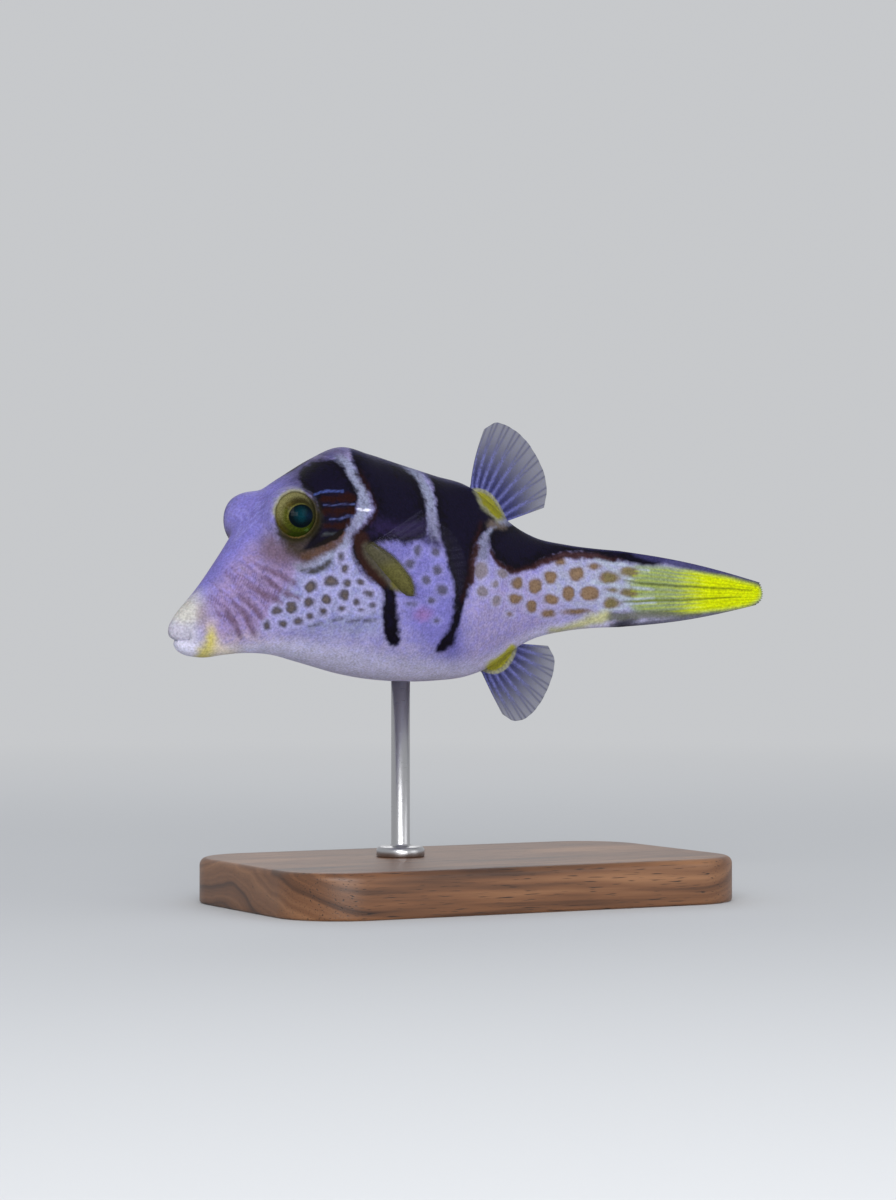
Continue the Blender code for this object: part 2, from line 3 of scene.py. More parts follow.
import bpy
import numpy as np
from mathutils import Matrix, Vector


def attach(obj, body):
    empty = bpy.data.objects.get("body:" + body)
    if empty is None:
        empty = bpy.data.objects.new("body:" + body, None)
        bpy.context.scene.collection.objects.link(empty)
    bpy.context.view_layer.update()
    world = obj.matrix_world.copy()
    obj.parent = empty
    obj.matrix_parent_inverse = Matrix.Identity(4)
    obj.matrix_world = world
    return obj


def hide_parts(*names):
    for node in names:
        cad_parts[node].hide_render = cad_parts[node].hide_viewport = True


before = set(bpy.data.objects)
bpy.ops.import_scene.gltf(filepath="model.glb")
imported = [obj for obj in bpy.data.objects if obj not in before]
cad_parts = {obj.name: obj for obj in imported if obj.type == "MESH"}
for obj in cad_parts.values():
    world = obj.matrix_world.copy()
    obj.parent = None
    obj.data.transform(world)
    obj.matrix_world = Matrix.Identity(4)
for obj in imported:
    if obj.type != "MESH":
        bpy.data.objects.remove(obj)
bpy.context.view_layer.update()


# The studio: a pale matt table that runs out to an even pale surround, lit by large soft lamps,
# and the camera where the photo's camera stood. Nothing of it belongs to the model.
MM = 0.001
TABLE_PALE = "#c9cbce"
SURROUND_PALE = "#e9ebee"
SURROUND_GLOW = 0.7
TABLE_HALF = 4000.0
FADE_FROM = 100.0  # the table fades into the surround from here, in mm from its middle
FADE_TO = 550.0
CAMERA_AZIMUTH = math.radians(-28.0)
CAMERA_DISTANCE = 465.0  # mm, as are all lengths of the fish below
CAMERA_HEIGHT = 40.0
CAMERA_LENS = 105.0
SENSOR_LONG_SIDE = 36.0
PHOTO_SIZE = (896, 1200)
ROW_AXIS_PX = (466.7, 600.0)  # where the model's upright axis at the camera's height falls in the photo
CAMERA_BACK = np.array([math.sin(CAMERA_AZIMUTH), -math.cos(CAMERA_AZIMUTH), 0.0])
CAMERA_ACROSS = np.array([math.cos(CAMERA_AZIMUTH), math.sin(CAMERA_AZIMUTH), 0.0])


def linear(colour):
    """A hex sRGB colour as linear RGBA."""
    parts = [int(colour[i : i + 2], 16) / 255 for i in (1, 3, 5)]
    return (*(c / 12.92 if c <= 0.04045 else ((c + 0.055) / 1.055) ** 2.4 for c in parts), 1.0)


def add(tree, kind, inputs=(), **settings):
    """Adds a node: settings are its properties, and each input is a value or another node's output."""
    made = tree.nodes.new(kind)
    for name, value in settings.items():
        setattr(made, name, value)
    for name, value in dict(inputs).items():
        if isinstance(value, bpy.types.NodeSocket):
            tree.links.new(value, made.inputs[name])
        else:
            made.inputs[name].default_value = value
    return made


def new_finish(name):
    """A material with no nodes yet."""
    made = bpy.data.materials.new(name)
    made.use_nodes = True
    made.node_tree.nodes.clear()
    return made


def new_piece(name, points, faces, finish):
    """A smooth-shaded mesh from points in mm."""
    mesh = bpy.data.meshes.new(name)
    mesh.from_pydata((np.asarray(points) * MM).tolist(), [], faces)
    mesh.polygons.foreach_set("use_smooth", [True] * len(mesh.polygons))
    mesh.materials.append(finish)
    made = bpy.data.objects.new(name, mesh)
    bpy.context.scene.collection.objects.link(made)
    return made


# Matt paper gives the eye an even pale ground with soft shadows and no gloss. Far out it fades into the
# surround.
table_finish = new_finish("matt paper table")
tree = table_finish.node_tree
place_on_table = add(tree, "ShaderNodeTexCoord").outputs["Object"]
from_middle = add(tree, "ShaderNodeVectorMath", {0: place_on_table}, operation="LENGTH")
far_share = add(
    tree,
    "ShaderNodeMapRange",
    {"Value": from_middle.outputs["Value"], "From Min": FADE_FROM * MM, "From Max": FADE_TO * MM},
    interpolation_type="SMOOTHSTEP",
)
paper = add(tree, "ShaderNodeBsdfDiffuse", {"Color": linear(TABLE_PALE)})
far_glow = add(tree, "ShaderNodeEmission", {"Color": linear(SURROUND_PALE), "Strength": SURROUND_GLOW})
table_look = add(
    tree, "ShaderNodeMixShader", {0: far_share.outputs[0], 1: paper.outputs[0], 2: far_glow.outputs[0]}
)
add(tree, "ShaderNodeOutputMaterial", {"Surface": table_look.outputs[0]})
table = new_piece(
    "table",
    [(x * TABLE_HALF, y * TABLE_HALF, 0.0) for x, y in ((-1, -1), (1, -1), (1, 1), (-1, 1))],
    [(0, 1, 2, 3)],
    table_finish,
)

world = bpy.data.worlds.new("pale surround")
world.use_nodes = True
world.node_tree.nodes["Background"].inputs["Color"].default_value = linear(SURROUND_PALE)
world.node_tree.nodes["Background"].inputs["Strength"].default_value = SURROUND_GLOW
bpy.context.scene.world = world
bpy.context.scene.view_settings.view_transform = "Standard"

for name, at, size, watts in (  # place and size in mm
    ("key lamp", (-260, -420, 260), 260, 1.3),
    ("fill lamp", (330, -380, 120), 300, 0.35),
    ("low lamp", (-120, -420, 30), 260, 1.3),
    ("rim lamp", (160, 360, 300), 220, 0.3),
):
    lamp = bpy.data.lights.new(name, "AREA")
    lamp.size = size * MM
    lamp.energy = watts
    lamp_at = bpy.data.objects.new(name, lamp)
    lamp_at.location = Vector(at) * MM
    towards = Vector((0, 0, CAMERA_HEIGHT)) - Vector(at)
    lamp_at.rotation_euler = towards.to_track_quat("-Z", "Y").to_euler()
    bpy.context.scene.collection.objects.link(lamp_at)

camera = bpy.data.objects.new("camera", bpy.data.cameras.new("camera"))
camera.data.lens = CAMERA_LENS
camera.data.sensor_width = SENSOR_LONG_SIDE
camera.data.shift_x = (PHOTO_SIZE[0] / 2 - ROW_AXIS_PX[0]) / PHOTO_SIZE[1]
camera.data.clip_start = 0.01
camera.location = Vector(CAMERA_BACK * CAMERA_DISTANCE + np.array([0, 0, CAMERA_HEIGHT])) * MM
camera.rotation_euler = (math.radians(90.0), 0.0, CAMERA_AZIMUTH)
bpy.context.scene.collection.objects.link(camera)
bpy.context.scene.camera = camera


# The skin: one scaleless hide over head, trunk, tail stalk and folded tail fin, with closed lips, raised
# nostrils, a fleshy rim round each eye and a gill slit. It is drawn from the fish's own measures, in mm:
# along the axis from the lips, to its right, and up from the axis. The head is at -X, the left side at -Y.
TOTAL_LENGTH = 90.0
STANDARD_LENGTH = 69.6
AXIS_HEIGHT = 40.0
CENTRE_X = -0.25
HEAD_TURN = math.radians(12.0)
TAIL_TURN = math.radians(-14.0)
TURN_START = 22.0
TURN_END = 76.0
SPINE_STEP = 0.5
SECTIONS = (  # along, crown, belly, half width, widest level, roundness above it and below it
    (3.0, -0.1, -7.1, 2.45, -4.0, 2.2, 2.2),
    (5.0, 1.85, -7.3, 3.0, -3.2, 2.2, 2.2),
    (8.0, 5.15, -7.0, 3.9, -2.0, 2.3, 2.2),
    (11.0, 8.6, -6.8, 4.8, -0.6, 2.5, 2.2),
    (14.0, 12.0, -6.85, 5.7, 0.9, 2.9, 2.2),
    (17.0, 14.85, -7.2, 6.6, 1.9, 2.9, 2.2),
    (20.0, 16.8, -7.9, 7.5, 2.4, 2.4, 2.2),
    (23.5, 18.7, -8.75, 8.3, 2.5, 2.1, 2.2),
    (27.0, 20.0, -9.6, 8.9, 2.3, 2.0, 2.2),
    (31.0, 19.3, -10.3, 9.2, 1.8, 1.95, 2.2),
    (36.0, 18.1, -10.75, 9.2, 1.4, 1.95, 2.2),
    (42.0, 16.6, -10.75, 8.6, 1.4, 1.95, 2.2),
    (47.0, 15.3, -10.2, 7.5, 1.5, 2.0, 2.1),
    (50.0, 13.4, -9.2, 6.6, 1.6, 2.0, 2.0),
    (53.0, 10.8, -7.3, 5.6, 1.7, 2.0, 2.0),
    (57.0, 8.6, -5.3, 4.4, 1.7, 2.0, 2.0),
    (62.0, 7.5, -4.2, 3.2, 1.7, 2.0, 2.0),
    (66.0, 7.0, -3.8, 2.5, 1.6, 2.1, 2.1),
    (69.6, 6.7, -3.7, 1.9, 1.5, 2.2, 2.2),
)
LIP_REACH = 3.0
MOUTH_UP = -5.05
MOUTH_HALF = 1.3
MOUTH_PARTING = 0.06
LIPS = (  # share of the way out, how far spread, and depth of the upper lip, the lower lip and the corner
    (0.0, 0.0, 0.75, 1.15, 2.2),
    (0.12, 0.04, 0.35, 0.98, 2.1),
    (0.25, 0.1, 0.02, 0.85, 2.05),
    (0.38, 0.22, -0.1, 0.85, 2.0),
    (0.5, 0.38, 0.12, 1.0, 2.0),
    (0.62, 0.56, 0.75, 1.3, 2.1),
    (0.75, 0.74, 1.55, 1.7, 2.35),
    (0.88, 0.89, 2.35, 2.3, 2.65),
    (1.0, 1.0, 3.0, 3.0, 3.0),
)
EYE_AT = (15.8, 4.45, 10.9)
FAR_EYE_DROP = 0.45  # the right eye sits a little lower than the left
EYE_FORWARD = math.radians(12.0)
EYE_RADIUS = 2.95
ORBIT_RADIUS = 3.5
ORBIT_HEART = (1.4, -2.6, -1.4)  # inside both the head and the mound, from the ball's centre
ORBIT_BLEND = 0.75
RIM_OPENING = 2.6  # the skin dives behind the ball from here inwards
RIM_WALL = 0.3
LID_LEVELS = {-1: 1.62, 1: 2.2}  # each rim is a flat ring round the ball, this far out at its opening
LID_SLOPE = 0.55
LID_BLEND = 0.1
LID_FADE_FROM = 3.4  # past here the flat ring runs out into the cheek
LID_FADE = 0.8
RIM_RADIUS = 3.1
RIM_RISE = 0.06
RIM_WIDTH = 0.22
SUNK_LEVEL = 0.9
NOSTRIL_AT = (9.0, 4.0)
NOSTRIL_RADIUS = 0.3
NOSTRIL_RISE = 0.15
NOSTRIL_EDGE = 0.16
GILL_LINE = ((22.9, 6.6), (23.3, 5.0), (24.2, 3.5), (25.4, 2.5), (26.6, 2.0))
GILL_DEPTH = 0.55
GILL_HALF_WIDTH = 0.17
TAIL_TIP_TOP = (89.8, 2.4)
TAIL_TIP_MIDDLE = 90.3
TAIL_TIP_BOTTOM = (89.2, -0.7)
TAIL_RAYS = 11
RAY_RISE = 0.13
TAIL_NOTCH = 0.01
TAIL_SWELL = 0.5  # how far its edges bow up and down on the way out
TAIL_FLESH = 0.28  # the share of the fin that the stalk's flesh runs out into
TAIL_HALF_THICK = (0.4, 0.27)  # at the stalk and at the edge
TAIL_CLOSES_FROM = 0.965
AROUND = 260


def hermite(t, a, b, slope_a, slope_b):
    """The cubic from a to b with those end slopes, at t from 0 to 1."""
    return (
        (2 * t**3 - 3 * t**2 + 1) * a
        + (t**3 - 2 * t**2 + t) * slope_a
        + (3 * t**2 - 2 * t**3) * b
        + (t**3 - t**2) * slope_b
    )


def smooth_rows(rows, at):
    """Values at many places, on smooth curves through the rows; the first column is the place."""
    rows = np.asarray(rows, float)
    x = rows[:, 0]
    at = np.clip(at, x[0], x[-1])
    i = np.clip(np.searchsorted(x, at, side="right") - 1, 0, len(x) - 2)
    slopes = np.gradient(rows[:, 1:], x, axis=0)
    width = (x[i + 1] - x[i])[:, None]
    t = (at - x[i])[:, None] / width
    return hermite(t, rows[i, 1:], rows[i + 1, 1:], slopes[i] * width, slopes[i + 1] * width)


def smoothstep(t):
    t = np.clip(t, 0.0, 1.0)
    return t * t * (3 - 2 * t)


def mix(a, b, t):
    return a + (b - a) * t


def heading(along):
    return HEAD_TURN + (TAIL_TURN - HEAD_TURN) * smoothstep((along - TURN_START) / (TURN_END - TURN_START))


spine_at = np.arange(0.0, TOTAL_LENGTH + SPINE_STEP / 2, SPINE_STEP)
spine_turn = heading((spine_at[1:] + spine_at[:-1]) / 2)
spine_x = np.concatenate([[0.0], np.cumsum(np.cos(spine_turn) * SPINE_STEP)])
spine_y = np.concatenate([[0.0], np.cumsum(np.sin(spine_turn) * SPINE_STEP)])
spine_x += CENTRE_X - (spine_x[0] + spine_x[-1]) / 2
spine_y -= spine_y.max() / 2


def place(along, right, up):
    """Points of the fish in the row's frame, in mm."""
    along, right, up = np.broadcast_arrays(*(np.asarray(v, float) for v in (along, right, up)))
    extra = np.maximum(0.0, along - TOTAL_LENGTH) + np.minimum(0.0, along)
    turn = heading(along)
    x = np.interp(along, spine_at, spine_x) + extra * np.cos(turn)
    y = np.interp(along, spine_at, spine_y) + extra * np.sin(turn)
    return np.stack([x - right * np.sin(turn), y + right * np.cos(turn), AXIS_HEIGHT + up], axis=-1)


def body_rings(along, angles):
    """(right, up) of the body's skin, a row for each place along; angle 0 is the crown, then the right."""
    crown, belly, half_width, widest, upper, lower = smooth_rows(SECTIONS, along).T[:, :, None]
    c, s = np.cos(angles)[None, :], np.sin(angles)[None, :]
    power = np.where(c >= 0, upper, lower)
    reach = np.where(c >= 0, crown - widest, widest - belly)
    right = half_width * np.sign(s) * np.abs(s) ** (2 / power)
    return right, widest + reach * np.sign(c) * np.abs(c) ** (2 / power)


def half_width_at(along, up):
    """How far to the side the skin lies at a height."""
    crown, belly, half_width, widest, upper, lower = smooth_rows(SECTIONS, np.atleast_1d(along))[0]
    power = upper if up >= widest else lower
    reach = crown - widest if up >= widest else widest - belly
    return half_width * (1 - min(abs(up - widest) / reach, 1.0) ** power) ** (1 / power)


def edge_height(along, right, top):
    """The height of the back, or of the belly, at an offset to the side."""
    crown, belly, half_width, widest, upper, lower = smooth_rows(SECTIONS, np.atleast_1d(along))[0]
    power = upper if top else lower
    reach = crown - widest if top else belly - widest
    return widest + reach * (1 - min(abs(right) / half_width, 1.0) ** power) ** (1 / power)


def lip_rings(shares, angles):
    """(along, right, up) of the lips, from the closed mouth's line to the first section."""
    right, up = body_rings(np.array([LIP_REACH]), angles)
    spread, upper, lower, corner = smooth_rows(LIPS, shares).T[:, :, None]
    c, s = np.cos(angles)[None, :], np.sin(angles)[None, :]
    along = mix(corner, np.where(c >= 0, upper, lower), c**2)
    return along, mix(MOUTH_HALF * s, right, spread), mix(MOUTH_UP + MOUTH_PARTING * c, up, spread)


def tail_fin_rings(shares, angles):
    """(along, right, up) of the folded tail fin, from the tail stalk's end out to the fin's edge."""
    v = shares[:, None]
    right_0, up_0 = body_rings(np.array([STANDARD_LENGTH]), angles)
    crown, belly = smooth_rows(SECTIONS, np.array([STANDARD_LENGTH]))[0][:2]
    share = (up_0 - belly) / (crown - belly)
    ray = share * (TAIL_RAYS - 1)
    on_ray = 0.5 + 0.5 * np.cos(2 * math.pi * ray)
    ends = mix(TAIL_TIP_BOTTOM[0], TAIL_TIP_TOP[0], share)
    tip_at = mix(ends, TAIL_TIP_MIDDLE, np.sin(math.pi * np.clip(share, 0, 1)) ** 0.7)
    along = mix(STANDARD_LENGTH, tip_at, v * (1 - TAIL_NOTCH * (1 - on_ray) * v))
    up = mix(up_0, mix(TAIL_TIP_BOTTOM[1], TAIL_TIP_TOP[1], share), v)
    up = up + TAIL_SWELL * np.sin(math.pi * v) * (2 * share - 1)
    flesh = np.exp(-((v / TAIL_FLESH) ** 1.5))
    blade = mix(*TAIL_HALF_THICK, v) + RAY_RISE * on_ray**2 * (1 - 0.5 * v)
    s = np.sin(angles)[None, :]
    flat = blade * np.sign(s) * np.abs(s) ** (2 / 7)
    closing = np.sqrt(np.clip(1 - (np.clip(v - TAIL_CLOSES_FROM, 0, 1) / 0.036) ** 2, 0.003, 1))
    return along, (right_0 * flesh + flat * (1 - flesh)) * closing, up


def eye_axis(side):
    """The way an eye's socket faces, in along, right, up."""
    return np.array([-math.sin(EYE_FORWARD), side * math.cos(EYE_FORWARD), 0.0])


def eye_middle(side):
    """Where an eyeball's middle is: side is -1 for the left eye and 1 for the right."""
    return np.array([EYE_AT[0], side * EYE_AT[1], EYE_AT[2] - (FAR_EYE_DROP if side > 0 else 0.0)])


def raise_orbits(points):
    """The skin raised round each eyeball to a soft rim, and sunk behind the ball inside the rim."""
    for side in (-1, 1):
        ball_at = eye_middle(side)
        heart = ball_at + np.array([ORBIT_HEART[0], side * ORBIT_HEART[1], ORBIT_HEART[2]])
        way = points - heart
        reach = np.linalg.norm(way, axis=-1)
        way = way / reach[..., None]
        inward = way @ (heart - ball_at)
        room = ORBIT_RADIUS**2 - (heart - ball_at) @ (heart - ball_at)
        leave = -inward + np.sqrt(inward**2 + room)
        push = ORBIT_BLEND * np.log1p(np.exp(np.clip((leave - reach) / ORBIT_BLEND, -40, 40)))
        points = points + way * push[..., None]
        axis = eye_axis(side)
        off = points - ball_at
        height = off @ axis
        radius = np.linalg.norm(off - height[..., None] * axis, axis=-1)
        lid = LID_LEVELS[side] - LID_SLOPE * (radius - RIM_OPENING)
        lid = height - LID_BLEND * np.log1p(np.exp(np.clip((height - lid) / LID_BLEND, -40, 40)))
        raised = mix(lid, height, smoothstep((radius - LID_FADE_FROM) / LID_FADE))
        raised = raised + RIM_RISE * np.exp(-(((radius - RIM_RADIUS) / RIM_WIDTH) ** 2))
        sunk = mix(SUNK_LEVEL, raised, smoothstep((radius - RIM_OPENING) / RIM_WALL))
        change = np.where(height > 0, sunk - height, 0.0)
        points = points + change[..., None] * axis
    return points


def line_distance(points, line):
    """The distance to a line through a few points, and the share of the way along it."""
    best = np.full(points.shape[:-1], np.inf)
    share = np.zeros(points.shape[:-1])
    for k in range(len(line) - 1):
        a, b = np.array(line[k], float), np.array(line[k + 1], float)
        t = np.clip((points - a) @ (b - a) / ((b - a) @ (b - a)), 0, 1)
        distance = np.linalg.norm(points - a - t[..., None] * (b - a), axis=-1)
        share = np.where(distance < best, (k + t) / (len(line) - 1), share)
        best = np.minimum(best, distance)
    return best, share


def outward(points):
    """The unit vector out of the skin at each point of the grid of rings."""
    ahead = np.gradient(points, axis=0)
    round_it = np.roll(points, -1, axis=1) - np.roll(points, 1, axis=1)
    out = np.cross(ahead, round_it)
    length = np.linalg.norm(out, axis=-1, keepdims=True)
    return out / np.maximum(length, 1e-9)


angles = math.pi + 2 * math.pi * np.arange(AROUND) / AROUND
lips_at = np.linspace(0.0, 1.0, 27)[:-1]
body_at = np.concatenate(  # the rings stand closest together round the eyes
    [
        np.arange(3.0, 11.6, 0.2),
        np.arange(11.6, 20.0, 0.115),
        np.arange(20.0, 26.0, 0.2),
        np.arange(26.0, STANDARD_LENGTH - 0.1, 0.3),
    ]
)
fin_at = np.concatenate([np.linspace(0.0, 0.96, 52), [0.97, 0.98, 0.988, 0.994, 0.998, 1.0]])
body_right, body_up = body_rings(body_at, angles)
rings = [
    lip_rings(lips_at, angles),
    (np.repeat(body_at[:, None], AROUND, axis=1), body_right, body_up),
    tail_fin_rings(fin_at, angles),
]
grid = np.concatenate([np.stack(np.broadcast_arrays(*ring), axis=-1) for ring in rings])
grid[len(lips_at) :] = raise_orbits(grid[len(lips_at) :])
side_of = np.sign(grid[..., 1])
skin_points = place(grid[..., 0], grid[..., 1], grid[..., 2])
out = outward(skin_points)
flank_view = grid[..., [0, 2]]
from_nostril = np.linalg.norm(flank_view - np.array(NOSTRIL_AT), axis=-1)
nostril = np.exp(-(((from_nostril - NOSTRIL_RADIUS) / NOSTRIL_EDGE) ** 2))
nostril = nostril - 0.5 * np.exp(-((from_nostril / NOSTRIL_EDGE) ** 2))
from_gill, gill_share = line_distance(flank_view, GILL_LINE)
gill = np.exp(-((from_gill / GILL_HALF_WIDTH) ** 2))
gill = gill * np.sin(math.pi * np.clip(gill_share, 0.04, 0.96)) ** 0.5
rise = NOSTRIL_RISE * nostril - GILL_DEPTH * gill
skin_points = skin_points + out * rise[..., None]


# The skin's markings, read from the photo. Each is an outline, a line or a round spot in the
# photo's pixels, and each point of the skin takes its depth inside it, in mm, from where the camera saw it.
# The right flank carries the mirror image of the left. A few of them are painted light and shade, as said
# where each is made.
SADDLES = (
    # behind the eye, down to a dark crease
    ((300, 487), (299, 474), (304, 464), (315, 460), (326, 459), (337, 460), (346, 470), (353, 481),
     (357, 488), (358.5, 496), (358, 503), (356, 511), (350, 521), (346, 530), (341, 538), (331, 543),
     (318, 547), (306, 551), (303, 548), (308, 541), (315, 530), (318, 517), (316, 502), (310, 493)),
    # shoulder, with the bar that runs down in front of the pectoral fin
    ((348, 440), (351, 457), (356, 472), (362, 484.5), (367, 492), (373, 499), (374.5, 507), (373, 512),
     (366, 523), (357, 532), (351.5, 541), (350.5, 551), (355, 562), (362.5, 570), (370, 577.5),
     (377.5, 585), (382.5, 591), (383.5, 600), (382, 615), (383, 629), (385, 640), (388, 646), (400, 646),
     (402, 640), (399, 627), (397, 611), (397, 598), (396, 588), (390, 582), (384, 574), (376, 562),
     (373, 550), (373, 542), (384, 541), (402, 541), (418, 540), (428, 536), (427, 518), (425, 500),
     (421, 486), (411, 473), (399, 464), (402, 440)),
    # flank, tapering down to a hook
    ((408, 440), (415, 465), (430, 477), (434, 495), (438, 515), (440, 533), (444, 546), (446, 555),
     (449, 570), (452.5, 582.5), (454, 600), (453, 610), (450, 625), (445, 636), (437, 646), (434, 652),
     (445, 653), (453, 646), (456, 635), (459.5, 622.5), (464, 610), (467, 597.5), (470, 584), (471, 571),
     (474, 555), (477, 541), (488, 528), (499, 524), (493, 505), (484, 486), (482, 470)),
    # back of the tail stalk, running out along the tail fin's upper edge
    ((491, 531), (500, 524), (540, 520), (600, 535), (655, 546), (668, 559), (660, 566), (640, 565.5),
     (617, 560), (594, 553), (575, 552), (560, 554), (545, 559), (530, 567.5), (515, 572), (503, 567),
     (493, 556), (488, 543)),
)
FIELDS = {  # soft-edged fields of colour
    "brow_violet": (
        (190, 560), (200, 520), (222, 480), (262, 450), (320, 430), (345, 440), (332, 462), (300, 478),
        (280, 498), (270, 520), (262, 540), (246, 558), (228, 578), (210, 592), (196, 585),
    ),
    "snout_rose": (
        (206, 602), (214, 586), (225, 570), (240, 553), (254, 541), (285, 552), (302, 570), (290, 592),
        (270, 620), (252, 644), (222, 650), (208, 640), (212, 618),
    ),
    "chin_pale": (
        (205, 660), (210, 640), (228, 636), (255, 634), (285, 640), (330, 660), (300, 690), (205, 690),
    ),
    "cheek_white": (
        (298, 572), (330, 558), (352, 545), (362, 575), (378, 588), (386, 610), (384, 636), (330, 640),
        (290, 628), (272, 612), (284, 596),
    ),
    "belly_pale": (
        (215, 652), (260, 640), (310, 636), (360, 640), (410, 648), (440, 660), (470, 668), (490, 720),
        (215, 720),
    ),
    "flank_blue": (
        (372, 536), (440, 534), (452, 560), (462, 600), (470, 650), (448, 668), (436, 650), (420, 640),
        (402, 622), (402, 590), (380, 560),
    ),
    "rear_rose": (
        (470, 600), (492, 580), (520, 572), (560, 590), (566, 616), (540, 640), (500, 668), (466, 672),
        (466, 630),
    ),
    "stalk_white": (
        (545, 566), (575, 555), (620, 560), (668, 566), (664, 604), (640, 612), (600, 611), (560, 604),
        (540, 586),
    ),
    "eye_tawny": (
        (256, 548), (264, 534), (272, 528), (286, 540), (306, 548), (322, 549), (312, 560), (296, 568),
        (280, 568), (262, 562),
    ),
    "eye_brown": (
        (280, 541), (284, 527), (300, 508), (326, 516), (336, 536), (330, 549), (316, 556), (301, 559),
        (288, 555),
    ),
    "lips_white": (
        (150, 600), (172, 596), (196, 586), (204, 600), (198, 622), (200, 640), (196, 670), (150, 670),
    ),
    "lip_yellow": (
        (206, 634), (212, 630), (217, 635), (218, 645), (215, 655), (206, 666), (192, 664), (196, 653),
        (203, 644),
    ),
}
PATCHES = {  # x, y, half width, half height
    "lip_cream": (184, 611, 15, 13),
    "lip_glow": (188, 650, 14, 9),
    "lip_tan": (203, 615, 6.5, 11),
    "lip_cream_spot": (211, 629, 6, 8),
    "chin_yellow": (226, 652, 12, 6),
    "pink_smudge": (423, 614, 8, 6),
}
STROKES = {  # width at the start, at the end and, where it swells, in the middle; then the lines
    "bands": ((13, 12), (
        ((339, 460), (346, 464), (355, 480), (363, 497), (365, 507), (360, 518), (351, 530), (346, 541),
         (339, 550), (325, 558.5), (300, 566)),
        ((405, 465), (417, 478), (427, 495), (432, 515), (434, 537)),
        ((505, 523), (496, 529), (484, 538), (481, 553)),
    )),
    "low_shade": ((13, 15), (
        ((351, 522), (351, 534)),
        ((432, 518), (436, 538)),
        ((485, 540), (482, 556)),
    )),
    "crown_tan": ((8, 9), (
        ((314, 457), (330, 452), (350, 453)),
    )),
    "saddle_rust": ((3, 3), (
        ((359, 472), (368, 490), (375, 505), (372, 517), (361, 530)),
        ((481, 524), (474, 545), (471, 570), (463, 600)),
        ((498, 564), (520, 571), (545, 560), (575, 555), (620, 560)),
    )),
    "red_edges": ((6, 8), (
        ((492, 552), (501, 565), (513, 571), (530, 567), (545, 560), (565, 555), (594, 554.5),
         (612, 557)),
        ((476, 545), (473, 562), (470, 582)),
    )),
    "bar_brown": ((17, 12), (
        ((361, 540), (364, 556), (371, 569), (384, 581)),
    )),
    "eye_streaks": ((5.5, 7), (
        ((322, 499), (336, 498), (352, 498)),
        ((324, 512), (338, 511.5), (353, 510.5)),
        ((326, 526), (337, 525.5), (348, 523)),
    )),
    "blue_line": ((2.4, 1.8), (
        ((314, 494.5), (320, 492), (326, 491.3), (334, 491), (342, 492)),
    )),
    "grey_lines": ((1.9, 2.3), (
        ((324, 505.5), (333, 505), (340, 504.2), (354, 504)),
        ((329.5, 519), (339.5, 518.2), (345, 516.7), (353, 516.7)),
    )),
    "dim_line": ((1.5, 1.5, 3.0), (
        ((323, 535.8), (331, 534.4), (336, 533)),
    )),
    "dark_crease": ((1.4, 5.0), (
        ((300, 551.5), (310, 548.5), (322, 543.5), (334, 537), (341, 531)),
    )),
    "crease_brown": ((7, 6, 9), (
        ((303, 557), (316, 554), (328, 548.5), (336, 542), (342, 535)),
    )),
    "long_spot": ((4.4, 5.0, 7.6), (
        ((304, 570.3), (313, 571.3), (323, 567.5), (330, 562.5)),
    )),
    "leaf_tan": ((6, 5), (
        ((490, 525), (497, 526), (504, 526)),
    )),
    "tail_comb": ((4.6, 2.6), (
        ((596, 559), (603, 562.5), (612, 568.5), (620, 575), (626, 579), (633, 580)),
        ((606, 560), (618.8, 563.8), (627.5, 566.3), (636.3, 570), (648, 570.6)),
        ((592, 581), (603, 583), (613, 584), (621, 586.5), (630, 586.5), (640, 587.5), (653, 590)),
        ((608, 596), (618.8, 596.3), (627.5, 599), (640, 598.5), (653, 597.5)),
        ((600, 610), (612.5, 609.4), (621, 608), (631, 603.8), (640, 602.5), (655, 603)),
        ((619, 588), (618, 596)),
    )),
    "tail_rays": ((1.7, 0.5, 2.4), (
        ((624, 580), (635, 582), (645, 583.8), (660, 584.8), (677.5, 586), (705, 587.5), (735, 589),
         (752, 590)),
        ((622, 602), (635, 601.5), (650, 600.6), (665, 600.4), (690, 600), (720, 598), (742, 597)),
    )),
    "upper_margin": ((10, 5, 11), (
        ((636, 551), (652.5, 556), (680, 562), (715, 570), (745, 578), (764, 586)),
    )),
    "lower_margin": ((14, 6, 14), (
        ((622, 631), (640, 628), (665, 625), (690, 621.5), (715, 617), (745, 611), (764, 603)),
    )),
    "band_gleam": ((1.6, 1.6, 3.4), (
        ((357, 509.5), (372, 510.2)),
    )),
    "saddle_glow": ((14, 12), (
        ((378, 526), (400, 530), (422, 527)),
    )),
    "tail_shade": ((9, 5, 9), (
        ((612, 617), (625, 616), (642, 615), (665, 614.5), (700, 612.5)),
    )),
    "stalk_yellow": ((6, 11), (
        ((552, 632), (580, 624), (606, 616)),
    )),
    "stalk_blotch": ((8, 3, 11), (
        ((613, 626), (624, 622.5), (636, 619)),
    )),
}
PECTORAL_FOOT = (
    (366, 541), (375, 546), (384, 553), (393, 562), (401, 570), (408, 574), (412, 579), (411, 587),
    (405, 592), (398, 592), (391, 588), (384, 580), (377, 571), (369, 563), (364, 555), (362, 547),
)
DORSAL_LEAF = (
    (472.5, 489), (480, 486), (492, 488), (503, 499), (507, 510), (505, 518), (502, 522), (497, 524),
    (493.6, 521.4), (489.3, 517), (485, 511.4), (480.7, 505.7), (477, 499.3), (474.3, 494.3),
)
ANAL_LEAF = (
    (483, 668), (488, 662), (496, 656), (504, 650), (511, 645.5), (516, 646), (516, 654), (508, 664),
    (498, 672), (487, 678),
)
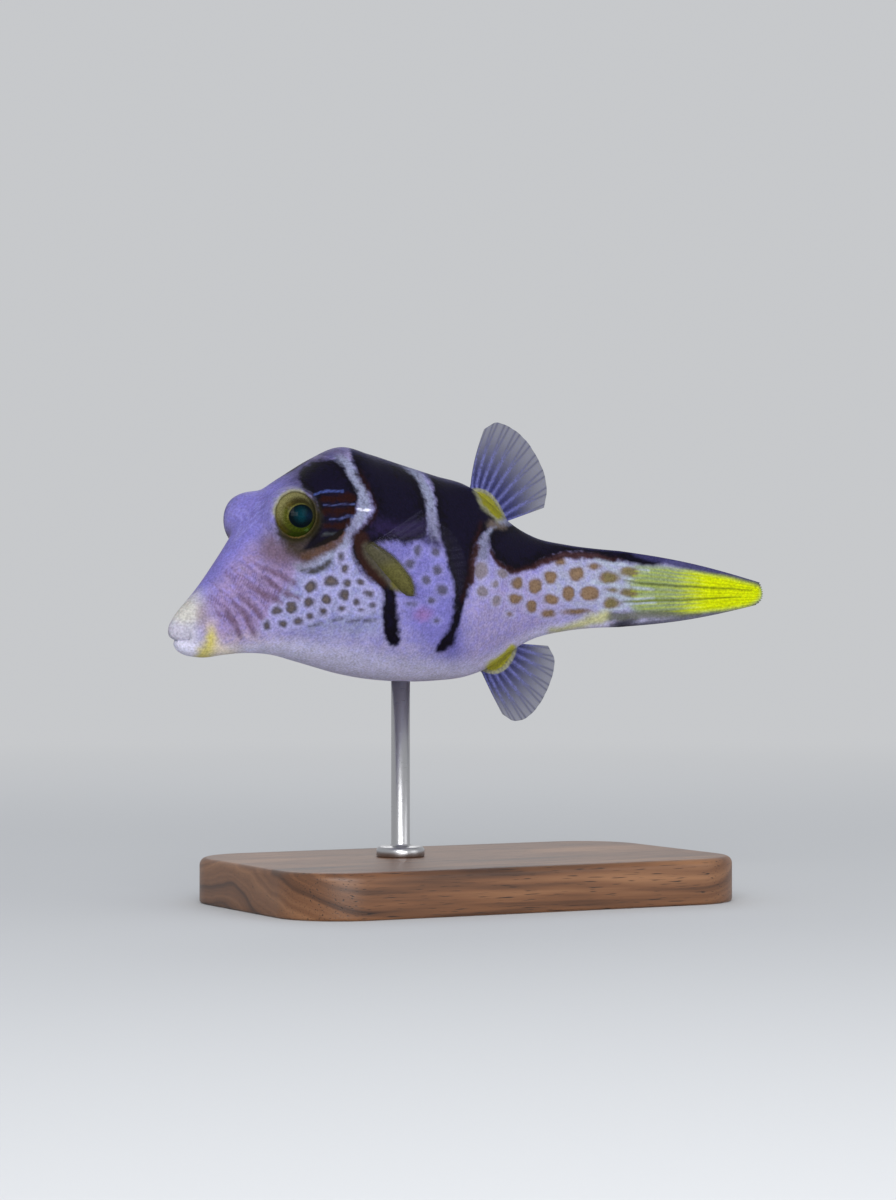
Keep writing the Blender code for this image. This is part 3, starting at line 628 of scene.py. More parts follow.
BROW_HAZE = (
    (287, 481), (292, 467), (305, 457), (322, 454), (334, 460), (328, 470), (312, 494), (301, 491),
    (293, 488),
)
SADDLE_HAZES = (  # where the saddles fade into the violet
    (((376, 541), (392, 539), (410, 539), (428, 536)), 7, 8),
    (((424, 540), (440, 544)), 8, 8),
)
SNOUT_GUIDES = (  # curves that the snout's stripes follow, from the eye round to the lips
    ((248, 556), (262, 567), (280.5, 575), (295, 583.5)),
    ((240, 562), (262, 577), (281.7, 589.5), (297, 600)),
    ((228, 568), (245, 583), (265, 595), (281.5, 604)),
    ((216, 574), (239.4, 595), (255, 608.3), (264.5, 621.5)),
    ((208, 582), (233.9, 602.8), (247.2, 619.4), (254.5, 635)),
    ((203, 592), (224, 606), (231.7, 618.3), (240, 637)),
    ((202, 600), (210.5, 606), (217, 614), (221, 622)),
)
BROW_GUIDES = (
    ((226, 506), (242, 494), (258, 486), (280, 474)),
    ((234, 546), (250, 528), (270, 510), (288, 490)),
)
CHEEK_DASHES = (
    ((308, 626.5), (322, 623.5)),
    ((332, 619.5), (343, 618.5)),
    ((348, 621), (359, 619.5)),
    ((365, 621), (375, 620)),
)
CHEEK_SPOTS = (  # x, y, half width, half height
    (341, 556, 3, 5), (345, 568, 5, 4.5), (331, 581.5, 7, 6), (347, 582.5, 5.2, 4.6),
    (361, 582.5, 4.5, 4), (311, 586, 7, 6), (309, 602, 6.5, 5), (326.5, 599, 5.6, 5.6),
    (343.5, 594.5, 5.6, 5.4), (357.5, 602, 4.4, 4), (368.7, 593.6, 4.2, 3.6), (372, 605, 4.4, 3.4),
    (342, 609, 4.2, 4), (323, 611.7, 4.6, 4.2), (309.5, 616, 4, 3.6), (292, 608, 5.6, 6),
    (276.6, 611, 5.6, 5), (299, 621, 4.6, 3.6), (282.6, 624.5, 4.8, 3.6), (267, 624.6, 4, 4.2),
    (362, 611, 3.6, 2),
)
FLANK_SPOTS = (
    (417.7, 551, 4.4, 5.4), (435.4, 552, 4.6, 5), (409.4, 563, 5, 5), (437.8, 570, 4.6, 5),
    (426, 580.5, 5.4, 5), (442.5, 590, 5.2, 5), (432, 600.6, 3.8, 3.8), (436.6, 620.6, 3.2, 2.8),
    (411, 604, 5, 2.6),
)
REAR_SPOTS = (
    (481.4, 570.4, 5.6, 8), (482.6, 591.6, 5, 5.4), (502.6, 574, 5, 4.4), (496.7, 600.6, 4.2, 4),
    (493.9, 584, 3, 3), (517.3, 583, 5.4, 5.4), (515, 599, 6.2, 5.4), (509.7, 614.7, 3.2, 2.6),
    (535.2, 586.4, 6.6, 7.4), (531.4, 606, 6.8, 6), (550.5, 577, 7.6, 7), (551, 599.4, 6.6, 5.8),
    (548, 614.2, 6.6, 4.2), (560.5, 562.3, 5.6, 3.8), (568, 593.5, 6.8, 7.4), (576.5, 573.6, 8.4, 7),
    (590, 593.5, 8.8, 7.4), (594, 566.6, 6.4, 3.8), (608.8, 577.5, 10, 5), (613, 590, 5.5, 2.2),
    (611, 603, 8.4, 5.4), (629.4, 593, 7.4, 3.8), (629, 572, 9.4, 4.4), (577, 612, 14.5, 3.2),
)
TAIL_YELLOW = (
    (630, 568), (655, 569), (683, 571), (707, 573.6), (730, 578), (749, 582.6), (760, 586), (761.5, 592),
    (760, 599), (752, 604), (742, 607), (718, 610), (695, 612), (671, 612), (650, 610), (630, 608),
)
TAIL_STARTS = (662, 714)  # from here to here the green turns to full yellow
TAIL_SPAN = (640, 762)  # where the fin's middle line and half height are measured
TAIL_MIDDLE = (589.5, 593.5)
TAIL_HALF = (22, 8)
TAIL_STREAKS = 9
STRAIGHT_FROM = 610  # the tail fin's rays are straight from here on
GOLD_FROM = 392  # the pectoral foot is dusky before and golden after this
OLIVE_FROM = 604  # the last spots are olive
GREY_UP_TO = 508  # the spots before this are grey
GREEN_FROM = 628  # the tail fin turns green from here on
FINE_STRIPES = 44
BROW_STREAKS = 22
FLECKS_IN = 0.28  # mm inside the bands
SHEEN_IN = 0.9  # mm inside the saddles
CHEEK_HALO = 0.3  # mm past the spots
SPOT_HALO = 0.35
CHEEK_HEART = 0.42  # mm inside the spots
REAR_HEART = 0.4
DORSAL_RIM = 0.42  # mm wide
ANAL_RIM_OUT = 0.15
ANAL_LEAF_IN = 0.1
# mm that the painted highlight on each nostril's rim reaches
NOSTRIL_HIGHLIGHT_REACH = 0.3
# mm that the painted shade in each nostril's pit reaches
NOSTRIL_PIT_SHADE_REACH = 0.08
GLINT_RADIUS = 2.9


def photo_scale_and_place(points):
    """Where points of the row's frame fall in the photo, in its pixels, and the pixels to a mm there."""
    focal = CAMERA_LENS / SENSOR_LONG_SIDE * PHOTO_SIZE[1]
    scale = focal / (CAMERA_DISTANCE - points @ CAMERA_BACK)
    x = ROW_AXIS_PX[0] + scale * (points @ CAMERA_ACROSS)
    y = ROW_AXIS_PX[1] - scale * (points[..., 2] - CAMERA_HEIGHT)
    return np.stack([x, y], axis=-1), scale


left_points = place(grid[..., 0], -np.abs(grid[..., 1]), grid[..., 2])
seen_at, photo_scale = photo_scale_and_place(left_points)


def wander(points, length, seed):
    """A smooth random shift of points, as long as this in pixels, so that no marking is quite regular."""
    draw = np.random.default_rng(seed)
    shift = np.zeros_like(points)
    for _ in range(6):
        turn = draw.uniform(0, 2 * math.pi, 2)
        phase = draw.uniform(0, 2 * math.pi, 2)
        stretch = draw.uniform(0.7, 1.5)
        for i in (0, 1):
            wave = points[..., 0] * math.cos(turn[i]) + points[..., 1] * math.sin(turn[i])
            shift[..., i] += np.sin(2 * math.pi * wave / (length * stretch) + phase[i]) / math.sqrt(6)
    return shift


calm = 1 - 0.7 * smoothstep((seen_at[..., 0:1] - STRAIGHT_FROM) / 40)
seen_at = seen_at + calm * (0.8 * wander(seen_at, 26, 3) + 0.4 * wander(seen_at, 9, 5))


def rounded(outline, times=2):
    """A closed outline with its corners cut, so that it runs in soft curves."""
    corners = np.array(outline, float)
    for _ in range(times):
        after = np.roll(corners, -1, axis=0)
        corners = np.stack([mix(corners, after, 0.25), mix(corners, after, 0.75)], axis=1).reshape(-1, 2)
    return corners


def inside_outline(outline):
    """The depth inside a closed outline, in mm, and below 0 outside it."""
    corners = rounded(outline)
    distance, _ = line_distance(seen_at, [*corners, corners[0]])
    crossings = np.zeros(seen_at.shape[:-1], bool)
    x, y = seen_at[..., 0], seen_at[..., 1]
    for (ax, ay), (bx, by) in zip(corners, np.roll(corners, -1, axis=0)):
        if ay != by:
            crossings ^= ((ay > y) != (by > y)) & (x < (bx - ax) * (y - ay) / (by - ay) + ax)
    return np.where(crossings, distance, -distance) / photo_scale


def inside_line(line, width, end_width=None, middle_width=None):
    """The depth inside a stroke this many pixels wide, in mm; it may widen or narrow on its way."""
    distance, share = line_distance(seen_at, line)
    wide = mix(width, width if end_width is None else end_width, share)
    if middle_width is not None:
        wide = wide + (middle_width - wide) * np.sin(math.pi * share)
    return (wide / 2 - distance) / photo_scale


def inside_spot(x, y, half_width, half_height):
    """The depth inside a round or oval spot, in mm."""
    off = (seen_at - np.array([x, y])) / np.array([half_width, half_height])
    return (1 - np.linalg.norm(off, axis=-1)) * min(half_width, half_height) / photo_scale


def any_of(depths):
    return np.maximum.reduce(list(depths))


# The snout's stripes run between the guides: a broad one along each guide and fine broken ones between
draw = np.random.default_rng(7)
guides = np.array(SNOUT_GUIDES, float)
brow = np.array(BROW_GUIDES, float)
broad_stripes = [inside_line(guide[1:], 1.6, 5.6, 5.8) for guide in guides[:-1]]
fine_stripes = []
for k in range(FINE_STRIPES):
    between = draw.uniform(0, len(guides) - 1.001)
    low = int(between)
    curve = mix(guides[low], guides[low + 1], between - low)
    first, last = np.sort(draw.uniform(-0.05, 0.95, 2))
    cut = np.clip(mix(first, max(last, first + 0.25), np.linspace(0, 1, 4)), 0, 1)
    run = np.stack([np.interp(cut, np.linspace(0, 1, 4), curve[:, i]) for i in (0, 1)], axis=-1)
    fine_stripes.append(inside_line(run, 0.5, 1.0, draw.uniform(1.2, 2.2)))
brow_streaks = []
for k in range(BROW_STREAKS):
    first = draw.uniform(0, 2)
    run = mix(brow[0], brow[1], draw.uniform(0, 1))[int(first) : int(first) + 2]
    brow_streaks.append(inside_line(run, 0.4, 0.4, draw.uniform(0.9, 1.6)))

eye_out = grid - np.where(side_of[..., None] > 0, eye_middle(1), eye_middle(-1))
facing_forward = np.full(side_of.shape, -math.sin(EYE_FORWARD))
eye_facing = np.stack([facing_forward, side_of * math.cos(EYE_FORWARD), 0 * side_of], axis=-1)
eye_height = (eye_out * eye_facing).sum(-1)
eye_radius = np.linalg.norm(eye_out - eye_height[..., None] * eye_facing, axis=-1)
eye_radius = np.where(eye_height > -0.5, eye_radius, 20.0)
rim_forward = (-eye_out[..., 0] * 0.6 + eye_out[..., 2] * 0.8) / np.maximum(eye_radius, 0.1)
# how far each point of an eye's rim faces the light, at the front and top, for its painted highlight
rim_lit = smoothstep((rim_forward - 0.3) / 0.4)

in_tail = inside_outline(TAIL_YELLOW)
tail_middle = np.interp(seen_at[..., 0], TAIL_SPAN, TAIL_MIDDLE)
tail_half = np.interp(seen_at[..., 0], TAIL_SPAN, TAIL_HALF)
tail_across = (seen_at[..., 1] - tail_middle) / tail_half
tail_sway = 1.2 * np.sin(4 * tail_across + seen_at[..., 0] / 40)
tail_streak = np.sin(math.pi * TAIL_STREAKS * tail_across + tail_sway)
saddle_depth = any_of(inside_outline(outline) for outline in SADDLES)

cheek_depth = any_of(inside_spot(*spot) for spot in CHEEK_SPOTS)
flank_depth = any_of(inside_spot(*spot) for spot in FLANK_SPOTS)
rear_depth = any_of(inside_spot(*spot) for spot in REAR_SPOTS)
dash_depth = any_of(inside_line(line, 2.0) for line in CHEEK_DASHES)
pectoral_depth = inside_outline(PECTORAL_FOOT)
dorsal_depth = inside_outline(DORSAL_LEAF)
anal_depth = inside_outline(ANAL_LEAF)
yellow_from = (seen_at[..., 0] - np.mean(TAIL_STARTS)) * 0.025
# the dark olive reaches further out on the side of the rim away from the light: painted shade
rim_shade_reach = mix(3.7, 3.0, smoothstep((rim_forward + 0.3) / 0.8))
under_rim = -1.5 * eye_out[..., 2] / np.maximum(eye_radius, 0.1) - 1.4

markings = {name: inside_outline(outline) for name, outline in FIELDS.items()}
for name, patch in PATCHES.items():
    markings[name] = inside_spot(*patch)
for name, (widths, lines) in STROKES.items():
    markings[name] = any_of(inside_line(line, *widths) for line in lines)
markings |= {
    "hue_drift": -0.08 + 0 * eye_radius,
    "band_flecks": np.minimum(markings["bands"], 0.0) - FLECKS_IN,
    "brow_streaks": any_of(brow_streaks),
    "fine_stripes": any_of(fine_stripes),
    "broad_stripes": any_of(broad_stripes),
    "brow_haze": inside_outline(BROW_HAZE) - np.clip(0.5 * grid[..., 1], 0, 4),
    "saddles": saddle_depth,
    "saddle_sheen": saddle_depth - SHEEN_IN,
    "saddle_haze": any_of(inside_line(*haze) for haze in SADDLE_HAZES),
    "cheek_halo": cheek_depth + CHEEK_HALO,
    "cheek_spots": np.maximum(cheek_depth, dash_depth),
    "cheek_hearts": cheek_depth - CHEEK_HEART,
    "flank_halo": flank_depth + SPOT_HALO,
    "flank_spots": flank_depth,
    "rear_halo": rear_depth + SPOT_HALO,
    "rear_spots": rear_depth,
    "rear_hearts": rear_depth - REAR_HEART,
    "olive_spots": np.minimum(rear_depth, 0.1 * (seen_at[..., 0] - OLIVE_FROM)),
    "grey_spots": np.minimum(rear_depth, 0.1 * (GREY_UP_TO - seen_at[..., 0])),
    "pectoral_root": pectoral_depth,
    "pectoral_gold": np.minimum(pectoral_depth, 0.16 * (seen_at[..., 0] - GOLD_FROM)),
    "dorsal_rim": dorsal_depth,
    "dorsal_leaf": dorsal_depth - DORSAL_RIM,
    "anal_rim": anal_depth + ANAL_RIM_OUT,
    "anal_leaf": anal_depth - ANAL_LEAF_IN,
    "tail_green": np.minimum(in_tail + 0.5, (seen_at[..., 0] - GREEN_FROM) * 0.05),
    "tail_yellow": np.minimum(in_tail, yellow_from + 0.12 * tail_streak),
    "tail_streaks": np.minimum(in_tail, 0.1 * tail_streak - 0.03),
    # painted light: the lowest part of the body, all along, painted paler as if lit from below
    "underside_painted_light": 9 * (-np.cos(angles) - 0.8) * np.ones_like(eye_radius),
    # painted rim light: a dark blue line along the top of the back, from the shoulder to the tail fin
    "crown_painted_rim_light": 12 * (np.cos(angles) - 0.955) - 3 * np.clip(24 - grid[..., 0], 0, 9),
    # painted highlight: a pale glint on each nostril's raised rim
    "nostril_rim_highlight": NOSTRIL_HIGHLIGHT_REACH - from_nostril,
    # painted shade in the nostril's pit
    "nostril_pit_shade": NOSTRIL_PIT_SHADE_REACH - from_nostril,
    # the rim's own pale olive, painted only on the side toward the light: partly painted highlight
    "rim_pale_and_highlight": mix(-0.45, 0.32, rim_lit) - np.abs(eye_radius - EYE_RADIUS) - (side_of > 0),
    # dark olive round the eye's rim, reaching further on the side away from the light: partly painted shade
    "rim_olive_and_shade": np.minimum(rim_shade_reach - eye_radius, eye_height - 0.4),
    "lid_glint": np.minimum(0.1 - np.abs(eye_radius - GLINT_RADIUS), under_rim),
    "eye_socket": EYE_RADIUS - eye_radius,
    # painted shade in the gill slit's groove
    "gill_slit_shade": gill - 0.5,
}

# The hide itself is satin from its slime and set with fine prickles, which give it a grain. The colours lie
# one over another in this order, each through its marking's depth with a soft, ragged edge.
SKIN_GROUND = "#8c87b8"
SKIN_LAYERS = (  # marking, colour, softness and raggedness in mm, strength
    ("brow_violet", "#716ab0", 1.7, 0.5, 0.92),
    ("snout_rose", "#85739a", 1.3, 0.5, 0.9),
    ("chin_pale", "#b8a7b4", 1.5, 0.4, 0.9),
    ("cheek_white", "#7f82a4", 1.2, 0.4, 0.9),
    ("belly_pale", "#9a96b6", 2.0, 0.4, 0.9),
    ("flank_blue", "#6763a4", 1.8, 0.6, 0.92),
    ("rear_rose", "#9086ad", 1.8, 0.5, 0.85),
    ("stalk_white", "#9295aa", 1.1, 0.3, 0.9),
    ("hue_drift", "#7775c4", 0.3, 1.3, 0.34),
    # painted light on the underside
    ("underside_painted_light", "#d9d9f6", 1.5, 0.5, 0.6),
    ("brow_streaks", "#9a95d6", 0.14, 0.1, 0.4),
    ("bands", "#7f849c", 0.5, 0.5, 0.9),
    ("band_flecks", "#45435c", 0.25, 1.3, 0.4),
    ("low_shade", "#5d5879", 0.8, 0.6, 0.5),
    ("crown_tan", "#7c728f", 0.6, 0.5, 0.7),
    ("band_gleam", "#e6e6fa", 0.12, 0.15, 0.9),
    ("pink_smudge", "#94628f", 0.8, 0.5, 0.5),
    ("eye_tawny", "#594754", 1.5, 0.5, 0.88),
    ("eye_brown", "#332a1f", 0.9, 0.5, 0.94),
    ("fine_stripes", "#584460", 0.2, 0.2, 0.75),
    ("broad_stripes", "#5b4759", 0.4, 0.4, 0.8),
    ("cheek_halo", "#a5a2cf", 0.35, 0.25, 0.7),
    ("cheek_spots", "#36302f", 0.32, 0.22, 0.92),
    ("cheek_hearts", "#675b4f", 0.35, 0.5, 0.55),
    ("long_spot", "#353332", 0.3, 0.15, 0.95),
    ("flank_halo", "#9794d0", 0.4, 0.3, 0.4),
    ("flank_spots", "#45424f", 0.35, 0.25, 0.88),
    ("rear_halo", "#9d9ebf", 0.35, 0.25, 0.5),
    ("tail_green", "#7f8e5a", 0.6, 0.15, 0.9),
    ("tail_comb", "#9da6b8", 0.3, 0.1, 0.85),
    ("rear_spots", "#69543f", 0.3, 0.16, 0.95),
    ("rear_hearts", "#80684f", 0.35, 0.5, 0.6),
    ("olive_spots", "#6a6640", 0.5, 0.3, 0.65),
    ("grey_spots", "#7c7b92", 0.4, 0.2, 0.6),
    ("red_edges", "#3a211c", 0.3, 0.3, 0.95),
    ("brow_haze", "#2a2341", 1.9, 0.9, 0.92),
    ("saddle_haze", "#241d42", 0.7, 0.9, 0.85),
    ("saddles", "#0a0711", 0.4, 0.4, 1.0),
    ("saddle_sheen", "#130f28", 0.8, 2.2, 0.5),
    ("saddle_glow", "#2b2147", 0.8, 1.2, 0.5),
    ("saddle_rust", "#2c130d", 0.5, 0.6, 0.6),
    ("bar_brown", "#2b1712", 0.45, 0.3, 0.85),
    ("eye_streaks", "#240d07", 0.3, 0.5, 0.85),
    ("blue_line", "#414f8c", 0.14, 0.05, 0.85),
    ("grey_lines", "#454c7a", 0.14, 0.05, 0.85),
    ("dim_line", "#3c4043", 0.2, 0.1, 0.8),
    ("crease_brown", "#4d3729", 0.45, 0.3, 0.9),
    ("dark_crease", "#100c0b", 0.15, 0.12, 0.95),
    ("pectoral_root", "#48443a", 0.5, 0.3, 0.9),
    ("pectoral_gold", "#5c5828", 0.5, 0.2, 0.9),
    # painted rim light along the crown
    ("crown_painted_rim_light", "#201f56", 0.5, 0.4, 0.55),
    ("lips_white", "#aba8b6", 1.1, 0.3, 0.95),
    ("lip_cream", "#c2c1ac", 1.0, 0.4, 0.55),
    ("lip_glow", "#dddcf4", 0.8, 0.3, 0.6),
    ("lip_tan", "#857370", 0.9, 0.5, 0.7),
    ("lip_cream_spot", "#bfae92", 0.9, 0.4, 0.6),
    ("lip_yellow", "#bfb455", 0.9, 0.4, 0.9),
    ("chin_yellow", "#d6cbab", 0.8, 0.3, 0.7),
    ("stalk_yellow", "#b4b478", 0.6, 0.25, 0.85),
    ("upper_margin", "#34325a", 0.3, 0.12, 0.92),
    ("lower_margin", "#484755", 0.4, 0.15, 0.92),
    ("stalk_blotch", "#15151c", 0.7, 0.4, 0.9),
    ("tail_shade", "#565842", 0.4, 0.2, 0.8),
    ("tail_yellow", "#bfcb00", 0.5, 0.06, 1.0),
    ("tail_streaks", "#98a504", 0.1, 0.03, 0.45),
    ("tail_rays", "#4b5412", 0.2, 0.08, 0.8),
    # painted highlight on the nostril's rim
    ("nostril_rim_highlight", "#9286a3", 0.2, 0.15, 0.4),
    # painted shade in the nostril's pit
    ("nostril_pit_shade", "#6b5d70", 0.08, 0.0, 0.6),
    # dark olive rim, partly painted shade away from the light
    ("rim_olive_and_shade", "#26220f", 0.45, 0.35, 0.92),
    # pale rim, partly painted highlight on its lit side
    ("rim_pale_and_highlight", "#8c8b70", 0.35, 0.3, 0.92),
    ("lid_glint", "#8f6a2c", 0.1, 0.1, 0.7),
    ("eye_socket", "#403a1e", 0.25, 0.2, 1.0),
    ("leaf_tan", "#625751", 0.5, 0.4, 0.85),
    ("dorsal_rim", "#7b7b64", 0.3, 0.15, 0.95),
    ("dorsal_leaf", "#807d1d", 0.25, 0.3, 1.0),
    ("anal_rim", "#a5a3a4", 0.35, 0.3, 0.6),
    ("anal_leaf", "#b3b030", 0.25, 0.25, 0.95),
    # painted shade in the gill slit
    ("gill_slit_shade", "#3b2d3d", 0.25, 0.0, 0.3),
)
PRICKLE_SPACING = 0.34  # mm; the real prickles are finer, and would be too fine to see
PRICKLE_HEIGHT = 0.03
GRAIN_SIZE = 0.3
GRAIN_DARK = 0.66  # the grain shades the colour between these
GRAIN_LIGHT = 1.26
HIDE_ROUGHNESS = (0.46, 0.62)  # wet and less wet patches
FLESH_DEPTH = 0.4  # mm that light goes into the hide
RAG_SIZE = 0.8
MOTTLE_SIZE = 2.2


def per_mm(size):
    """A texture's scale for features of this size in mm."""
    return 1 / (size * MM)


def paint(tree, ground, layers, grain, rag):
    """The layers one over another on a ground colour, all shaded by a grain; returns the colour."""
    colour = linear(ground)
    for name, hue, softness, raggedness, strength in layers:
        depth = add(tree, "ShaderNodeAttribute", attribute_name=name).outputs["Fac"]
        rough_edge = {0: rag, 1: 2 * raggedness, 2: depth}
        ragged = add(tree, "ShaderNodeMath", rough_edge, operation="MULTIPLY_ADD")
        cover = add(
            tree,
            "ShaderNodeMapRange",
            {"Value": ragged.outputs[0], "From Min": -softness, "From Max": softness, "To Max": strength},
            interpolation_type="SMOOTHSTEP",
        )
        inputs = {0: cover.outputs[0], 6: colour, 7: linear(hue)}
        colour = add(tree, "ShaderNodeMix", inputs, data_type="RGBA").outputs[2]
    spread = {"From Min": 0.3, "From Max": 0.7, "To Min": GRAIN_DARK, "To Max": GRAIN_LIGHT}
    shade = add(tree, "ShaderNodeMapRange", {"Value": grain, **spread})
    shaded = add(tree, "ShaderNodeVectorMath", {0: colour, 1: shade.outputs[0]}, operation="MULTIPLY")
    return shaded.outputs[0]


def sheet(name, points, finish, wrap=True, ends=()):
    """A smooth mesh over rows of points in mm, with its unwrap for the bake; ends are further faces."""
    rows, columns = points.shape[:2]
    r, c = np.meshgrid(np.arange(rows - 1), np.arange(columns if wrap else columns - 1), indexing="ij")
    corner_row = np.stack([r, r + 1, r + 1, r], axis=-1).reshape(-1, 4)
    corner_column = np.stack([c, c, c + 1, c + 1], axis=-1).reshape(-1, 4)
    faces = (corner_row * columns + corner_column % columns).tolist() + [list(face) for face in ends]
    made = new_piece(name, points.reshape(-1, 3), faces, finish)
    step = np.linalg.norm(np.diff(points, axis=0), axis=-1).mean(axis=1)
    arc = np.concatenate([[0.0], np.cumsum(step)])
    arc /= arc[-1]
    last = columns if wrap else columns - 1
    wall_uv = np.stack([arc[corner_row], corner_column / last], axis=-1).reshape(-1, 2)
    end_corners = np.array([corner for face in ends for corner in face], int)
    end_uv = np.stack([arc[end_corners // columns], (end_corners % columns) / last], axis=-1)
    uv = np.concatenate([wall_uv, end_uv]).astype(np.float32)
    made.data.uv_layers.new(name="OFBake").data.foreach_set("uv", uv.ravel())
    return made


def give(piece, name, values):
    """A number for each point of a piece, for its material to read."""
    values = np.asarray(values, np.float32).ravel()
    piece.data.attributes.new(name, "FLOAT", "POINT").data.foreach_set("value", values)


hide = new_finish("prickly satin hide")
tree = hide.node_tree
on_hide = add(tree, "ShaderNodeTexCoord").outputs["Object"]
rags = add(tree, "ShaderNodeTexNoise", {"Vector": on_hide, "Scale": per_mm(RAG_SIZE), "Detail": 6.0})
rag = add(tree, "ShaderNodeMath", {0: rags.outputs["Fac"], 1: 0.5}, operation="SUBTRACT").outputs[0]
grains = add(tree, "ShaderNodeTexNoise", {"Vector": on_hide, "Scale": per_mm(GRAIN_SIZE), "Detail": 2.0})
grain = grains.outputs["Fac"]
mottles = add(tree, "ShaderNodeTexNoise", {"Vector": on_hide, "Scale": per_mm(MOTTLE_SIZE), "Detail": 3.0})
mottle = mottles.outputs["Fac"]
both = add(tree, "ShaderNodeMix", {0: 0.7, 2: mottle, 3: grain}).outputs[0]
skin_colour = paint(tree, SKIN_GROUND, SKIN_LAYERS, both, rag)
prickles = add(
    tree, "ShaderNodeTexVoronoi", {"Vector": on_hide, "Scale": per_mm(PRICKLE_SPACING), "Randomness": 0.8}
)
prickle_up = add(
    tree,
    "ShaderNodeMapRange",
    {"Value": prickles.outputs["Distance"], "From Max": 0.6, "To Min": 1.0, "To Max": 0.0},
)
relief = add(tree, "ShaderNodeMath", {0: grain, 1: 0.6, 2: prickle_up.outputs[0]}, operation="MULTIPLY_ADD")
skin_bump = add(
    tree, "ShaderNodeBump", {"Strength": 0.55, "Distance": PRICKLE_HEIGHT * MM, "Height": relief.outputs[0]}
)
wet_spread = {"To Min": HIDE_ROUGHNESS[0], "To Max": HIDE_ROUGHNESS[1]}
wet = add(tree, "ShaderNodeMapRange", {"Value": mottle, **wet_spread})
hide_look = add(
    tree,
    "ShaderNodeBsdfPrincipled",
    {
        "Base Color": skin_colour,
        "Roughness": wet.outputs[0],
        "Normal": skin_bump.outputs[0],
        "Specular IOR Level": 0.05,
        "Subsurface Weight": 0.05,
        "Subsurface Scale": FLESH_DEPTH * MM,
    },
)
add(tree, "ShaderNodeOutputMaterial", {"Surface": hide_look.outputs[0]})

half_around = AROUND // 2
last_ring = (len(skin_points) - 1) * AROUND
mouth_seam = [
    dict.fromkeys((j, j + 1, (half_around - j - 1) % AROUND, (half_around - j) % AROUND))
    for j in range(AROUND // 4, 3 * AROUND // 4)
]
fin_seam = [
    [last_ring + k for k in dict.fromkeys((j, -j % AROUND, (-j - 1) % AROUND, j + 1))]
    for j in range(half_around)
]
skin = sheet("skin", skin_points, hide, ends=mouth_seam + fin_seam)
for name, depth in markings.items():
    give(skin, name, np.broadcast_to(depth, grid.shape[:2]))
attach(skin, "root")
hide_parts("head", "trunk", "tail", "caudal_fin")


# The eyes: glass balls set in the fleshy rims, as taxidermists' eyes are, with the iris painted behind a
# clear cornea. The teal pupil has a thin gold arc, and the iris runs from brown above to green below.
GAZE = (-0.163, 0.983, -0.085)  # along, out to the side, up
BALL_RADIUS = 3.14
CORNEA_RISE = 0.05
PUPIL_RADIUS = 1.48
PUPIL_STRETCH = 1.17  # it is wider than high
IRIS_GROUND = "#3c3b18"
IRIS_GRAIN = 0.16
EYE_AROUND = 96
CORNEA_IOR = 1.376
EYE_LAYERS = (
    ("eye_low", "#29370a", 0.9, 0.3, 0.95),
    ("eye_high", "#2a2411", 0.8, 0.5, 0.9),
    ("eye_front", "#463d15", 0.6, 0.35, 0.85),
    ("eye_rear", "#242315", 0.7, 0.3, 0.85),
    ("iris_lime", "#3c4610", 0.25, 0.4, 0.6),
    ("iris_ring", "#1f1c0a", 0.12, 0.5, 0.6),
    ("iris_fibres", "#1d1a0a", 0.1, 0.2, 0.3),
    ("iris_moss", "#4a6430", 0.2, 0.5, 0.6),
    # pale edge, partly painted highlight on the lit side
    ("lid_inside_and_highlight", "#77734b", 0.7, 0.3, 0.9),
    ("gold_arc", "#6f7038", 0.1, 0.06, 0.45),
    ("pupil", "#030b10", 0.06, 0.02, 1.0),
    ("pupil_heart", "#052a33", 0.6, 0.1, 1.0),
    ("pupil_blue", "#08182c", 0.5, 0.1, 0.8),
)

# Painted glass gives the eye a matt iris under a thin clear coat, with one soft glint
painted_glass = new_finish("painted glass eye")
tree = painted_glass.node_tree
on_ball = add(tree, "ShaderNodeTexCoord").outputs["Object"]
iris_noise = add(
    tree, "ShaderNodeTexNoise", {"Vector": on_ball, "Scale": per_mm(IRIS_GRAIN), "Detail": 3.0}
)
iris_grain = iris_noise.outputs["Fac"]
iris_rag = add(tree, "ShaderNodeMath", {0: iris_grain, 1: 0.5}, operation="SUBTRACT").outputs[0]
eye_look = add(
    tree,
    "ShaderNodeBsdfPrincipled",
    {
        "Base Color": paint(tree, IRIS_GROUND, EYE_LAYERS, iris_grain, iris_rag),
        "Roughness": 0.5,
        "Specular IOR Level": 0.0,
        "Coat Weight": 0.12,
        "Coat Roughness": 0.03,
        "Coat IOR": CORNEA_IOR,
    },
)
add(tree, "ShaderNodeOutputMaterial", {"Surface": eye_look.outputs[0]})


def unit(v):
    return v / np.maximum(np.linalg.norm(v, axis=-1, keepdims=True), 1e-9)


